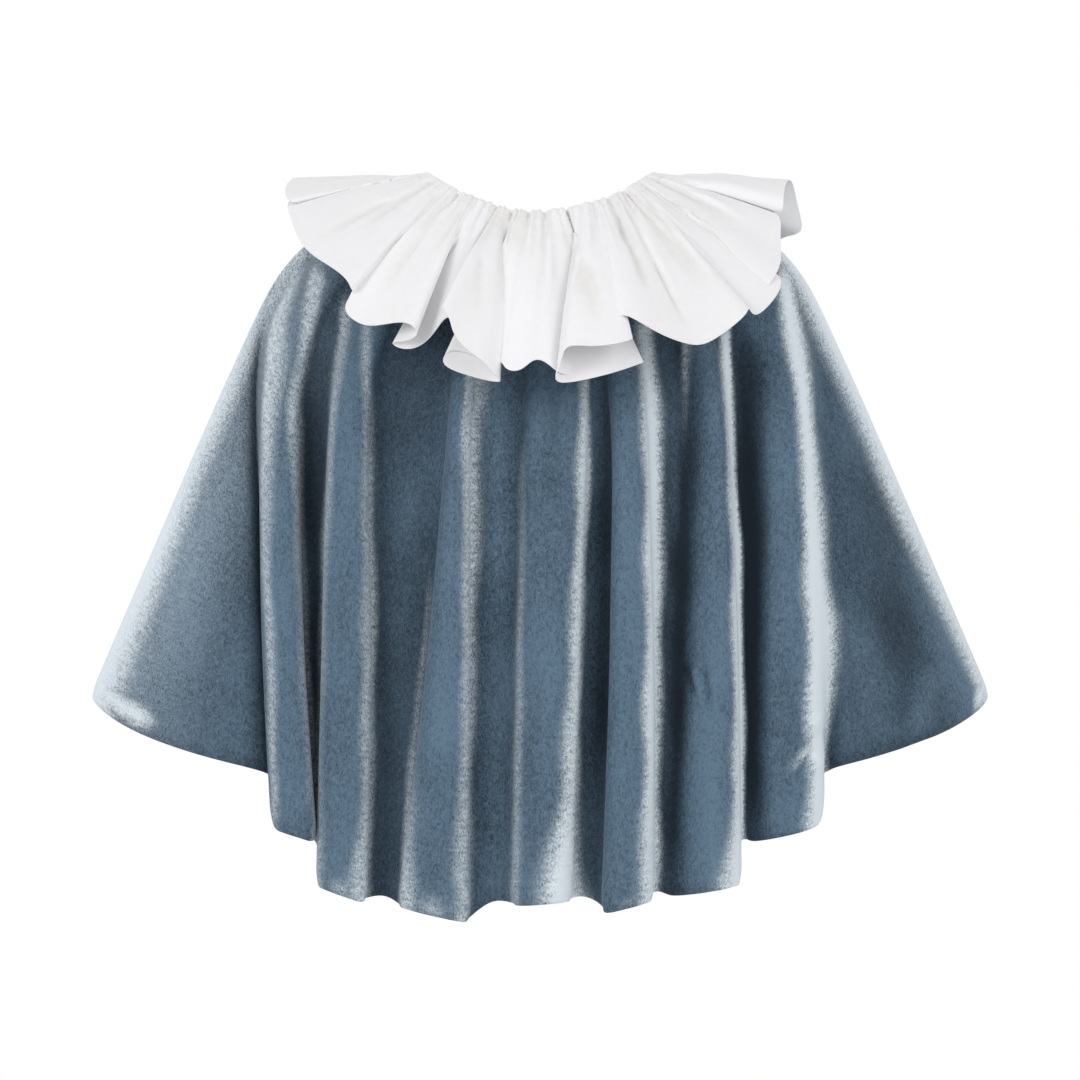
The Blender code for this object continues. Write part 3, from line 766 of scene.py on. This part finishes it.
def soft_wrinkles(seed):
    """Short shallow wrinkles scattered over the ruffle."""
    draw = np.random.RandomState(seed)
    wrinkles = []
    for _ in range(WRINKLES):
        top = draw.uniform(0.05, 0.5)
        low = top + draw.uniform(0.25, 0.55)
        depth = draw.choice((-1, 1)) * draw.uniform(0.35, 1.2)
        wrinkles.append(
            Gather(draw.uniform(-180, 180), top, low, draw.uniform(-6, 6), draw.uniform(0.5, 1.3), depth)
        )
    return wrinkles


# Creases, painted sheen, light and shade, and hems


def crease_relief(points, creases):
    """How far the soft creases raise or lower each point of a panel."""
    x, drop = points[..., 0], -points[..., 2]
    relief = np.zeros(x.shape)
    for crease in creases:
        along = (drop - crease.drop_top) / (crease.drop_low - crease.drop_top)
        line = crease.x_top + (crease.x_low - crease.x_top) * along
        fade = smooth_step(along / CREASE_FADE) * smooth_step((1 - along) / CREASE_FADE)
        relief += crease.height * fade * np.exp(-(((x - line) / crease.width) ** 2))
    return relief


def from_seams(points):
    """How far each point lies from the nearer side seam, along its row."""
    steps = np.linalg.norm(np.diff(points, axis=1), axis=2)
    run = np.concatenate([np.zeros((len(points), 1)), np.cumsum(steps, axis=1)], axis=1)
    return np.minimum(run, run[:, -1:] - run)


def above_hem(points):
    """How far each point lies above the hem, along its column."""
    steps = np.linalg.norm(np.diff(points, axis=0), axis=2)
    above = np.zeros(points.shape[:2])
    above[:-1] = np.cumsum(steps[::-1], axis=0)[::-1]
    return above


def near_hem(points, height):
    """Grows from 0, this far above the hem, to 1 along it."""
    return np.clip(1 - above_hem(points) / height, 0, 1) ** 2


def wavering(wave, drop, index):
    return np.sin(drop / wave.length + wave.phase * index)


def painted_bands(points, bands):
    """How strongly a set of painted bands lies at each point of a panel: bands of painted sheen, painted
    light or painted shade.
    """
    x, drop = points[..., 0], -points[..., 2]
    painted_light = np.zeros(x.shape)
    for index, stations in enumerate(bands):
        drops = [station.drop for station in stations]
        line, left, right, strength = (
            np.interp(drop, drops, [getattr(station, name) for station in stations])
            for name in ("x", "left", "right", "strength")
        )
        waver = wavering(LONG_WAVE, drop, index) + WAVER_SHORT * wavering(SHORT_WAVE, drop, index)
        line = line + WAVER_ACROSS * waver * np.minimum(left + right, WAVER_WIDTH) / WAVER_WIDTH
        left = left * (1 + WAVER_SPREAD * wavering(LEFT_WAVE, drop, index))
        right = right * (1 + WAVER_SPREAD * wavering(RIGHT_WAVE, drop, index))
        reach = min(BAND_FADE, drops[-1] - drops[0])
        fade = smooth_step((drop - drops[0]) / reach + 1) * smooth_step((drops[-1] - drop) / reach + 1)
        away = x - line
        spread = np.where(away < 0, left, right)
        painted_light = np.maximum(painted_light, strength * fade * np.exp(-((away / spread) ** 2)))
    return painted_light


def painted_side_sheen(points, sides):
    """How strong the painted sheen is along the outer edges of a panel."""
    x, drop = points[..., 0], -points[..., 2]
    painted_light = np.zeros(x.shape)
    for sign, stations in sides:
        seam = points[:, 0 if points[0, 0, 0] * sign > 0 else -1]
        line = np.interp(drop, -seam[:, 2], np.abs(seam[:, 0]))
        line = line + SIDE_SLOPE * np.maximum(drop + seam[-1, 2], 0)
        away = np.maximum(line - sign * x, 0)
        drops, spreads, strengths = zip(*stations)
        spread, strength = np.interp(drop, drops, spreads), np.interp(drop, drops, strengths)
        painted_light = np.maximum(painted_light, strength * np.exp(-((away / spread) ** 2)))
    return painted_light


def painted_hem_sheen(points, patches):
    """How strong the painted sheen is in patches along the hem."""
    x, above = points[..., 0], above_hem(points)
    painted_light = np.zeros(x.shape)
    for patch in patches:
        fade = min(PATCH_FADE, (patch.x_to - patch.x_from) / 2)
        inside = smooth_step((x - patch.x_from) / fade) * smooth_step((patch.x_to - x) / fade)
        away = (above - patch.above) / patch.spread
        painted_light = np.maximum(painted_light, patch.strength * inside * np.exp(-(away**2)))
    return painted_light


def fold_bands(folds, edges):
    """Bands of painted sheen along both edges of each fold of a side."""
    bands = []
    narrow, wide = BACK_BAND_SPREADS
    for fold, strengths in zip(folds, edges):
        for side, inset, spreads, strength in (
            ("left", BACK_BAND_INSET, (narrow, wide), strengths[0]),
            ("right", -BACK_BAND_INSET, (wide, narrow), strengths[1]),
        ):
            places = [getattr(fold, f"{side}_{station}") for station in ("bust", "mid", "hem")]
            stations = zip(BACK_BAND_DROPS, places, BACK_BAND_SHARES)
            rows = ((drop, x + inset, *spreads, strength * share) for drop, x, share in stations)
            bands.append(band(*rows))
    return bands


def lapped_seams(points, values):
    """Adds columns at both ends that turn in and lie behind the panel sewn to this one, towards +Y."""
    towards_back = np.array((0.0, 1.0, 0.0))
    ends = {}
    for end in (0, -1):
        along = np.gradient(points[:PANEL_ROWS, end], axis=0)
        inside = np.cross(along, towards_back)
        inside *= -np.sign(inside[:, :1] * points[:PANEL_ROWS, end, :1])
        inside /= np.linalg.norm(inside, axis=1, keepdims=True)
        inside = np.concatenate([inside, np.repeat(inside[-1:], len(points) - PANEL_ROWS, axis=0)])
        below_shoulder = smooth_step((-points[:, end, 2:] - SHOULDER_DROP) / SHOULDER_FADE)
        turned = points[:, end] + SEAM_TURN * below_shoulder * inside + SEAM_EASE * towards_back
        way = SEAM_LAP_BACK * towards_back + SEAM_LAP_IN * inside
        behind = turned + SEAM_LAP * below_shoulder * way + SEAM_EASE * towards_back
        ends[end] = [turned[:, None], behind[:, None]]
    held = [np.concatenate([value[:, :1]] * 2 + [value] + [value[:, -1:]] * 2, axis=1) for value in values]
    return np.concatenate([*reversed(ends[0]), points, *ends[-1]], axis=1), held


def turned_hem(points, values):
    """Adds rows that turn the cloth under at the hem and lie against its inside."""
    inside = -outward(points)
    down = points[-1] - points[-2]
    down /= np.linalg.norm(down, axis=1, keepdims=True)
    rows = [points]
    for turn in np.radians(HEM_TURNS_UNDER):
        way = down * math.sin(turn) + inside[-1] * (1 - math.cos(turn))
        rows.append((points[-1] + HEM_RADIUS * way)[None])
    for back in range(2, 2 + HEM_TURN_ROWS):
        rows.append((points[-back] + 2 * HEM_RADIUS * inside[-back])[None])
    extra = len(rows) - 1
    held = [np.concatenate([value, np.repeat(value[-1:], extra, axis=0)]) for value in values]
    return np.concatenate(rows), held


# Making pieces


def deselect():
    bpy.ops.object.select_all(action="DESELECT")


def apply_modifiers(piece):
    deselect()
    piece.select_set(True)
    bpy.context.view_layer.objects.active = piece
    for modifier in list(piece.modifiers):
        bpy.ops.object.modifier_apply(modifier=modifier.name)


def laid_grid(name, points, marks, materials, closed=False):
    """A grid of cloth laid on points [row, column], with named marks on its points."""
    deselect()
    rows, columns = points.shape[:2]
    bpy.ops.mesh.primitive_grid_add(x_subdivisions=columns - 1, y_subdivisions=rows - 1, size=1)
    piece = bpy.context.object
    piece.name = piece.data.name = name
    for material in materials:
        piece.data.materials.append(material)
    piece.data.vertices.foreach_set("co", (points[::-1] * MM).astype(np.float32).ravel())
    for mark, values in marks.items():
        layer = piece.data.attributes.new(mark, "FLOAT", "POINT")
        layer.data.foreach_set("value", values[::-1].astype(np.float32).ravel())
    piece.data.update()
    if closed:
        weld = piece.modifiers.new("join ends", "WELD")
        weld.merge_threshold = JOIN_DISTANCE * MM
        apply_modifiers(piece)
    return piece


def thicken(piece, wall):
    """Gives a cloth its thickness inwards, and smooths it up to its cut edges."""
    solidify = piece.modifiers.new("wall", "SOLIDIFY")
    solidify.material_offset = 1
    solidify.thickness = wall * MM
    solidify.offset = -1.0
    solidify.use_quality_normals = True
    apply_modifiers(piece)
    bpy.ops.object.shade_smooth_by_angle(angle=math.radians(SHARP_EDGE))


def dress(piece, node):
    """Hangs a finished piece on the cape's body, in place of its solid if it has one."""
    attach(piece, "root")
    if node:
        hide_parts(node)


def velvet_panel(name, cage, first, last, creases, bands, sides, dark, light, patches, lapped):
    """One side of the body between two seams, with its creases, painted sheen, painted light and shade, and
    turned hem.
    """
    across = even_across(cage, first, last, PANEL_COLUMNS, PANEL_RING, PANEL_ON_FOLDS)
    down = even_down(cage, (first + last) / 2, PANEL_ROWS)
    sampled = sample_cage(cage, across, down)
    points, stand = sampled[..., :3], sampled[..., 3]
    for end, beside in ((0, 1), (-1, -2)):
        inwards = points[:, beside] - points[:, end]
        inwards /= np.linalg.norm(inwards, axis=1, keepdims=True)
        points[:, end] += inwards * SEAM_OPEN / 2
    # Painted sheen: pale highlight bands on fold edges, along the outer edges and in patches above the hem
    painted_light = np.maximum(painted_bands(points, bands), painted_side_sheen(points, sides))
    painted_light = np.maximum(painted_light, painted_hem_sheen(points, patches))
    # Painted shade from the folds' stand-out: valleys and dark bands coloured darker, less so near the hem;
    # the hem painted darker, light bands lighter, crease ridges lighter and troughs darker
    stand = stand / FULL_STAND
    valleys = np.minimum(stand - painted_bands(points, dark), 0)
    stand = np.maximum(stand, 0) + valleys * (1 - HEM_LIGHT * near_hem(points, HEM_LIGHT_HEIGHT))
    stand = stand - HEM_SHADE * near_hem(points, HEM_SHADE_HEIGHT) + painted_bands(points, light)
    inset = from_seams(points)
    relief = crease_relief(points, creases) * smooth_step(inset / SEAM_SMOOTH)
    stand = stand + CREASE_SHADE * relief
    relief -= HEM_CURL * near_hem(points, HEM_CURL_HEIGHT)
    relief -= SEAM_GROOVE * np.clip(1 - inset / SEAM_GROOVE_WIDTH, 0, 1) ** 2
    points = points + outward(points) * relief[..., None]
    across_cloth = np.tile(run_along(points[CLOTH_ROW]), (PANEL_ROWS, 1))
    down_cloth = np.tile(run_along(points[:, PANEL_COLUMNS // 2])[:, None], (1, PANEL_COLUMNS))
    values = (stand, painted_light, across_cloth, down_cloth)
    points, values = turned_hem(points, values)
    if lapped:
        points, values = lapped_seams(points, values)
    marks = dict(zip(("stand", "painted_light", "across", "down"), values))
    panel = laid_grid(name, points, marks, (velvet, wrong_side))
    thicken(panel, VELVET_WALL)
    return panel


# Finishes


class Finish:
    """A material with its shader and short ways to add and join nodes."""

    def __init__(self, name):
        self.material = bpy.data.materials.new(name)
        self.material.use_nodes = True
        self.tree = self.material.node_tree
        self.shader = self.tree.nodes["Principled BSDF"]

    def join(self, value, socket):
        if isinstance(value, bpy.types.NodeSocket):
            self.tree.links.new(value, socket)
        else:
            socket.default_value = value

    def add(self, kind, *values, **settings):
        """A new node with its settings, and values for its first sockets."""
        made = self.tree.nodes.new("ShaderNode" + kind)
        for name, setting in settings.items():
            setattr(made, name, setting)
        for socket, value in zip(made.inputs, values):
            self.join(value, socket)
        return made

    def maths(self, operation, *values):
        return self.add("Math", *values, operation=operation).outputs[0]

    def vary(self, base, noise, amount):
        """Moves a value up and down by noise, which is even about a half."""
        return self.maths("MULTIPLY_ADD", self.maths("SUBTRACT", noise, 0.5), amount, base)

    def ramp(self, value, low, high, to_low=0.0, to_high=1.0):
        ends = (low, high, to_low, to_high)
        return self.add("MapRange", value, *ends, interpolation_type="SMOOTHSTEP").outputs[0]

    def blend(self, share, first, second):
        made = self.add("Mix", share, data_type="RGBA")
        self.join(first, made.inputs[6])
        self.join(second, made.inputs[7])
        return made.outputs[2]

    def mark(self, name):
        return self.add("Attribute", attribute_name=name).outputs["Fac"]

    def grain(self, size, stretch=(1.0, 1.0, 1.0), detail=2.0, roughness=0.5):
        """Noise on the object, with grains of a size in millimetres."""
        mapped = self.add("Mapping", self.add("TexCoord").outputs["Object"])
        mapped.inputs["Scale"].default_value = [1.0 / (size * MM) * share for share in stretch]
        return self.noise(mapped.outputs[0], detail, roughness)

    def streaks(self, length, height, detail, roughness):
        """Noise in the cloth itself, with streaks of a length across it and a height down it."""
        across = self.maths("DIVIDE", self.mark("across"), length)
        down = self.maths("DIVIDE", self.mark("down"), height)
        return self.noise(self.add("CombineXYZ", across, down).outputs[0], detail, roughness)

    def noise(self, place, detail, roughness):
        made = self.add("TexNoise")
        for name, value in (("Vector", place), ("Scale", 1.0), ("Detail", detail), ("Roughness", roughness)):
            self.join(value, made.inputs[name])
        return made.outputs["Fac"]

    def bump(self, *layers):
        """Bump layers of (height, strength, depth in millimetres), the coarse ones first."""
        normal = None
        for height, strength, depth in layers:
            made = self.add("Bump")
            for name, value in (("Strength", strength), ("Distance", depth * MM), ("Height", height)):
                self.join(value, made.inputs[name])
            if normal is not None:
                self.join(normal, made.inputs["Normal"])
            normal = made.outputs[0]
        self.join(normal, self.shader.inputs["Normal"])

    def set(self, **inputs):
        for key, value in inputs.items():
            self.join(value, self.shader.inputs[key.replace("_", " ")])


def velvet_finish():
    velvet = Finish("blue silk velvet")
    pile = velvet.grain(0.75, (1.0, 1.0, 0.6), roughness=0.6)
    tufts = velvet.grain(1.9, (1.0, 1.0, 0.6), detail=3.0, roughness=0.6)
    patches = velvet.grain(38.0, (1.0, 1.0, 0.5))
    # Marks from the panels: painted shade and light from the folds' stand-out, and painted sheen
    stand = velvet.mark("stand")
    painted_light = velvet.mark("painted_light")

    # The painted sheen, its edges feathered and ragged with noise
    feather = velvet.streaks(6.5, 2.6, detail=4.0, roughness=0.7)
    loose = velvet.vary(velvet.vary(0.0, pile, 1.2), feather, 1.0)
    at_edge, in_middle = velvet.ramp(painted_light, 0.0, 0.7), velvet.ramp(painted_light, 0.6, 1.05, 1.0, 0.3)
    ragged = velvet.maths("MULTIPLY", at_edge, in_middle)
    ruffled = velvet.maths("MULTIPLY_ADD", loose, ragged, painted_light)
    painted_sheen = velvet.ramp(ruffled, 0.06, 0.98)

    # Painted shade: the face colour runs from near black in the valleys to mid blue on the crowns, varied at
    # random by the pile
    nap = velvet.vary(velvet.vary(0.0, tufts, 1.3), pile, 1.9)
    depth = velvet.vary(stand, patches, 1.5)
    depth = velvet.maths("MULTIPLY_ADD", nap, velvet.ramp(stand, -1.0, 0.9, 0.6, 1.7), depth)
    lit = velvet.ramp(depth, -1.35, 1.5)
    face = velvet.blend(lit, (0.007, 0.0145, 0.0245, 1), (0.114, 0.184, 0.258, 1))
    # The pale blue-grey painted sheen highlight laid over the face colour
    colour = velvet.blend(painted_sheen, face, (0.69, 0.76, 0.81, 1))
    velvet.set(
        Base_Color=colour,
        Roughness=velvet.ramp(painted_sheen, 0.0, 1.0, 0.82, 0.6),
        Specular_IOR_Level=0.25,
        Sheen_Weight=0.45,
        Sheen_Roughness=0.32,
        Sheen_Tint=(0.72, 0.84, 0.93, 1),
    )
    velvet.bump((tufts, 0.25, 0.6), (pile, 0.45, 0.35))
    return velvet.material


def velvet_inside():
    wrong_side = Finish("velvet wrong side")
    weave = wrong_side.grain(0.9)
    shade = wrong_side.grain(24.0, (1.0, 1.0, 0.6))
    woven = wrong_side.ramp(wrong_side.vary(weave, shade, 0.6), 0.25, 0.75)
    wrong_side.set(
        Base_Color=wrong_side.blend(woven, (0.034, 0.056, 0.080, 1), (0.066, 0.100, 0.136, 1)),
        Roughness=0.9,
        Specular_IOR_Level=0.15,
    )
    wrong_side.bump((weave, 0.3, 0.2))
    return wrong_side.material


def cotton_finish():
    cotton = Finish("white cotton")
    weave = cotton.grain(0.55, detail=1.0)
    slub = cotton.grain(3.2, (1.0, 1.0, 0.4))
    rumple = cotton.grain(17.0, (1.0, 1.0, 0.7), roughness=0.45)
    # Painted shade: the cotton is coloured a darker warm grey where gathers and wrinkles sink in
    painted_crease_shade = cotton.ramp(cotton.vary(cotton.mark("lift"), rumple, 0.6), -0.9, 0.15)
    colour = cotton.blend(painted_crease_shade, (0.80, 0.792, 0.785, 1), (0.865, 0.863, 0.878, 1))
    thread = cotton.ramp(slub, 0.3, 0.75)
    colour = cotton.blend(cotton.maths("MULTIPLY", thread, 0.25), colour, (0.92, 0.918, 0.93, 1))
    cotton.set(
        Base_Color=colour,
        Roughness=cotton.ramp(weave, 0.25, 0.75, 0.62, 0.82),
        Specular_IOR_Level=0.3,
        Sheen_Weight=0.12,
        Sheen_Roughness=0.4,
        Sheen_Tint=(1.0, 1.0, 1.0, 1),
    )
    cotton.bump((rumple, 0.25, 1.6), (slub, 0.12, 0.4), (weave, 0.2, 0.15))
    return cotton.material


# The cape

velvet = velvet_finish()
wrong_side = velvet_inside()
cotton = cotton_finish()

cage, right_seam = body_cage()
front = velvet_panel(
    "velvet_front", cage, 0, right_seam,
    FRONT_CREASES, FRONT_PAINTED_SHEEN, FRONT_SIDE_SHEEN, FRONT_PAINTED_SHADE, FRONT_PAINTED_LIGHT, FRONT_HEM_SHEEN,
    lapped=True,
)
dress(front, "cape_front")
back = velvet_panel(
    "velvet_back", cage, right_seam, cage.shape[1],
    BACK_CREASES, fold_bands(BACK_FOLDS, BACK_EDGE_SHEEN), BACK_SIDES_SHEEN, BACK_PAINTED_SHADE, BACK_PAINTED_LIGHT, BACK_HEM_SHEEN,
    lapped=False,
)
dress(back, "cape_back")

# The ruffle, gathered to the neck, with a header that turns in over the casing
ruffle_form, gathered = ruffle_cage()
around = even_across(ruffle_form, 0, len(gathered), RUFFLE_COLUMNS, RUFFLE_RINGS - 1.5, RUFFLE_ON_FOLDS)
necks = np.interp(around, range(len(gathered) + 1), [*gathered, gathered[0] + 360])
shares = np.linspace(0, 1, RUFFLE_ROWS)
ruffled = sample_cage(ruffle_form, around, shares * (RUFFLE_RINGS - 1))
gathers = [*MAIN_GATHERS, *fine_gathers(GATHER_SEED)]
relief = gather_relief(necks, shares, [*gathers, *soft_wrinkles(WRINKLE_SEED)])
ruffled = ruffled + outward(ruffled) * relief[..., None]
ruffled[..., 2] += NECK_PUCKER * relief[0] * smooth_step(1 - shares / NECK_PUCKER_SHARE)[:, None]
ruffled[:, -1] = ruffled[:, 0]
neck_turns = np.radians(necks)
turned_in = np.stack([-np.sin(neck_turns), np.cos(neck_turns), np.zeros(len(necks))], axis=1)
header = ruffled[0] + HEADER_WIDTH * turned_in + (0, 0, HEADER_RISE)
header[-1] = header[0]
ruffle = laid_grid(
    "cotton_ruffle",
    np.concatenate([header[None], ruffled]),
    {"lift": np.concatenate([relief[:1], relief])},
    (cotton,),
    closed=True,
)
thicken(ruffle, COTTON_WALL)
dress(ruffle, "collar_ruffle")

# A row of gathering stitches round the neck
row = next(i for i, place in enumerate(ruffled[:, 0]) if np.linalg.norm(place - ruffled[0, 0]) > STITCH_DROP)
line, face = ruffled[row], outward(ruffled)[row]
run = run_along(line)
stitches = []
for start in np.linspace(0, run[-1], STITCHES, endpoint=False):
    near, far = (place_along(run, line, start + along) for along in (0, STITCH_LENGTH))
    lift = place_along(run, face, start) * STITCH_RADIUS * STITCH_LIFT
    middle, way = (near + far) / 2 + lift, far - near
    deselect()
    bpy.ops.mesh.primitive_uv_sphere_add(
        segments=6,
        ring_count=4,
        radius=1.0,
        location=middle * MM,
        rotation=(0, math.atan2(math.hypot(way[0], way[1]), way[2]), math.atan2(way[1], way[0])),
        scale=(STITCH_RADIUS * MM, STITCH_RADIUS * MM, STITCH_LENGTH / 2 * MM),
    )
    stitches.append(bpy.context.object)
for stitch in stitches:
    stitch.select_set(True)
bpy.ops.object.join()
bpy.ops.object.transform_apply(location=True, rotation=True, scale=True)
bpy.ops.object.shade_smooth()
stitching = bpy.context.object
stitching.name = stitching.data.name = "neck_stitches"
stitching.data.materials.append(cotton)
dress(stitching, None)

# The casing, a tube puckered by the gathers of the ruffle
turns = np.linspace(0, 2 * math.pi, CASING_AROUND)
turn, side = np.meshgrid(turns, np.linspace(0, 2 * math.pi, CASING_SECTION))
flat_out, flat_up = (np.sign(way) * np.abs(way) ** CASING_FLATNESS for way in (np.cos(side), np.sin(side)))
pucker = np.clip(gather_relief(np.degrees(turns), [0.0], gathers)[0], *PUCKER_RANGE)
pucker[-1] = pucker[0]
casing_half_width = CASING_HALF_WIDTH + CASING_EASE + np.minimum(pucker, 0)
casing_half_height = CASING_HALF_HEIGHT + PUCKER_RISE * pucker
casing_points = np.stack(
    [
        (NECK_HALF_WIDTH + casing_half_width * flat_out) * np.sin(turn),
        -(NECK_HALF_DEPTH + casing_half_width * flat_out) * np.cos(turn),
        -NECK_DIP * np.cos(turn) ** 2 + casing_half_height * flat_up,
    ],
    axis=2,
)
casing = laid_grid(
    "cotton_casing",
    casing_points[::-1],
    {"lift": np.zeros(turn.shape)},
    (cotton,),
    closed=True,
)
bpy.ops.object.shade_smooth()
dress(casing, "neck_casing")

# Stage, light and camera

deselect()
bpy.ops.mesh.primitive_circle_add(
    vertices=96, radius=FLOOR_RADIUS, fill_type="NGON", location=(0, 0, -FLOOR_DROP)
)
floor = bpy.context.object
floor.name = "floor"
paper = Finish("pale paper")
paper.set(Base_Color=(0.86, 0.86, 0.86, 1), Roughness=0.9)
floor.data.materials.append(paper.material)

world = bpy.data.worlds.new("white room")
world.use_nodes = True
room = world.node_tree
seen = room.nodes["Background"]
seen.inputs["Color"].default_value = (1, 1, 1, 1)
cast = room.nodes.new("ShaderNodeBackground")
cast.inputs["Color"].default_value = (1, 1, 1, 1)
cast.inputs["Strength"].default_value = 0.5
either = room.nodes.new("ShaderNodeMixShader")
room.links.new(room.nodes.new("ShaderNodeLightPath").outputs["Is Camera Ray"], either.inputs[0])
room.links.new(cast.outputs[0], either.inputs[1])
room.links.new(seen.outputs[0], either.inputs[2])
room.links.new(either.outputs[0], room.nodes["World Output"].inputs["Surface"])
bpy.context.scene.world = world


def soft_light(name, place, size, power):
    deselect()
    bpy.ops.object.light_add(type="AREA", location=place)
    lamp = bpy.context.object
    lamp.name = name
    lamp.data.shape = "RECTANGLE"
    lamp.data.size, lamp.data.size_y = size
    lamp.data.energy = power
    aim = np.array(LIGHT_AIM) - np.array(place)
    lamp.rotation_euler = (math.atan2(math.hypot(aim[0], aim[1]), -aim[2]), 0, math.atan2(-aim[0], aim[1]))


soft_light("right light", (1.6, -1.5, 0.8), (0.9, 1.6), 17.0)
soft_light("left light", (-1.7, -1.4, 0.8), (0.9, 1.6), 21.5)
soft_light("back right light", (1.5, 1.7, 0.9), (0.9, 1.6), 12.0)
soft_light("back left light", (-1.6, 1.6, 0.9), (0.9, 1.6), 15.0)
soft_light("low light", (0.0, -1.9, -0.72), (1.8, 0.5), 3.6)

deselect()
bpy.ops.object.camera_add(location=(0, -CAMERA_AWAY, -CAMERA_DROP), rotation=(math.pi / 2, 0, 0))
camera = bpy.context.object
camera.data.sensor_width = SENSOR_WIDTH
camera.data.lens = SENSOR_WIDTH * CAMERA_AWAY / VIEW_WIDTH
bpy.context.scene.camera = camera
bpy.context.scene.view_settings.view_transform = "Standard"
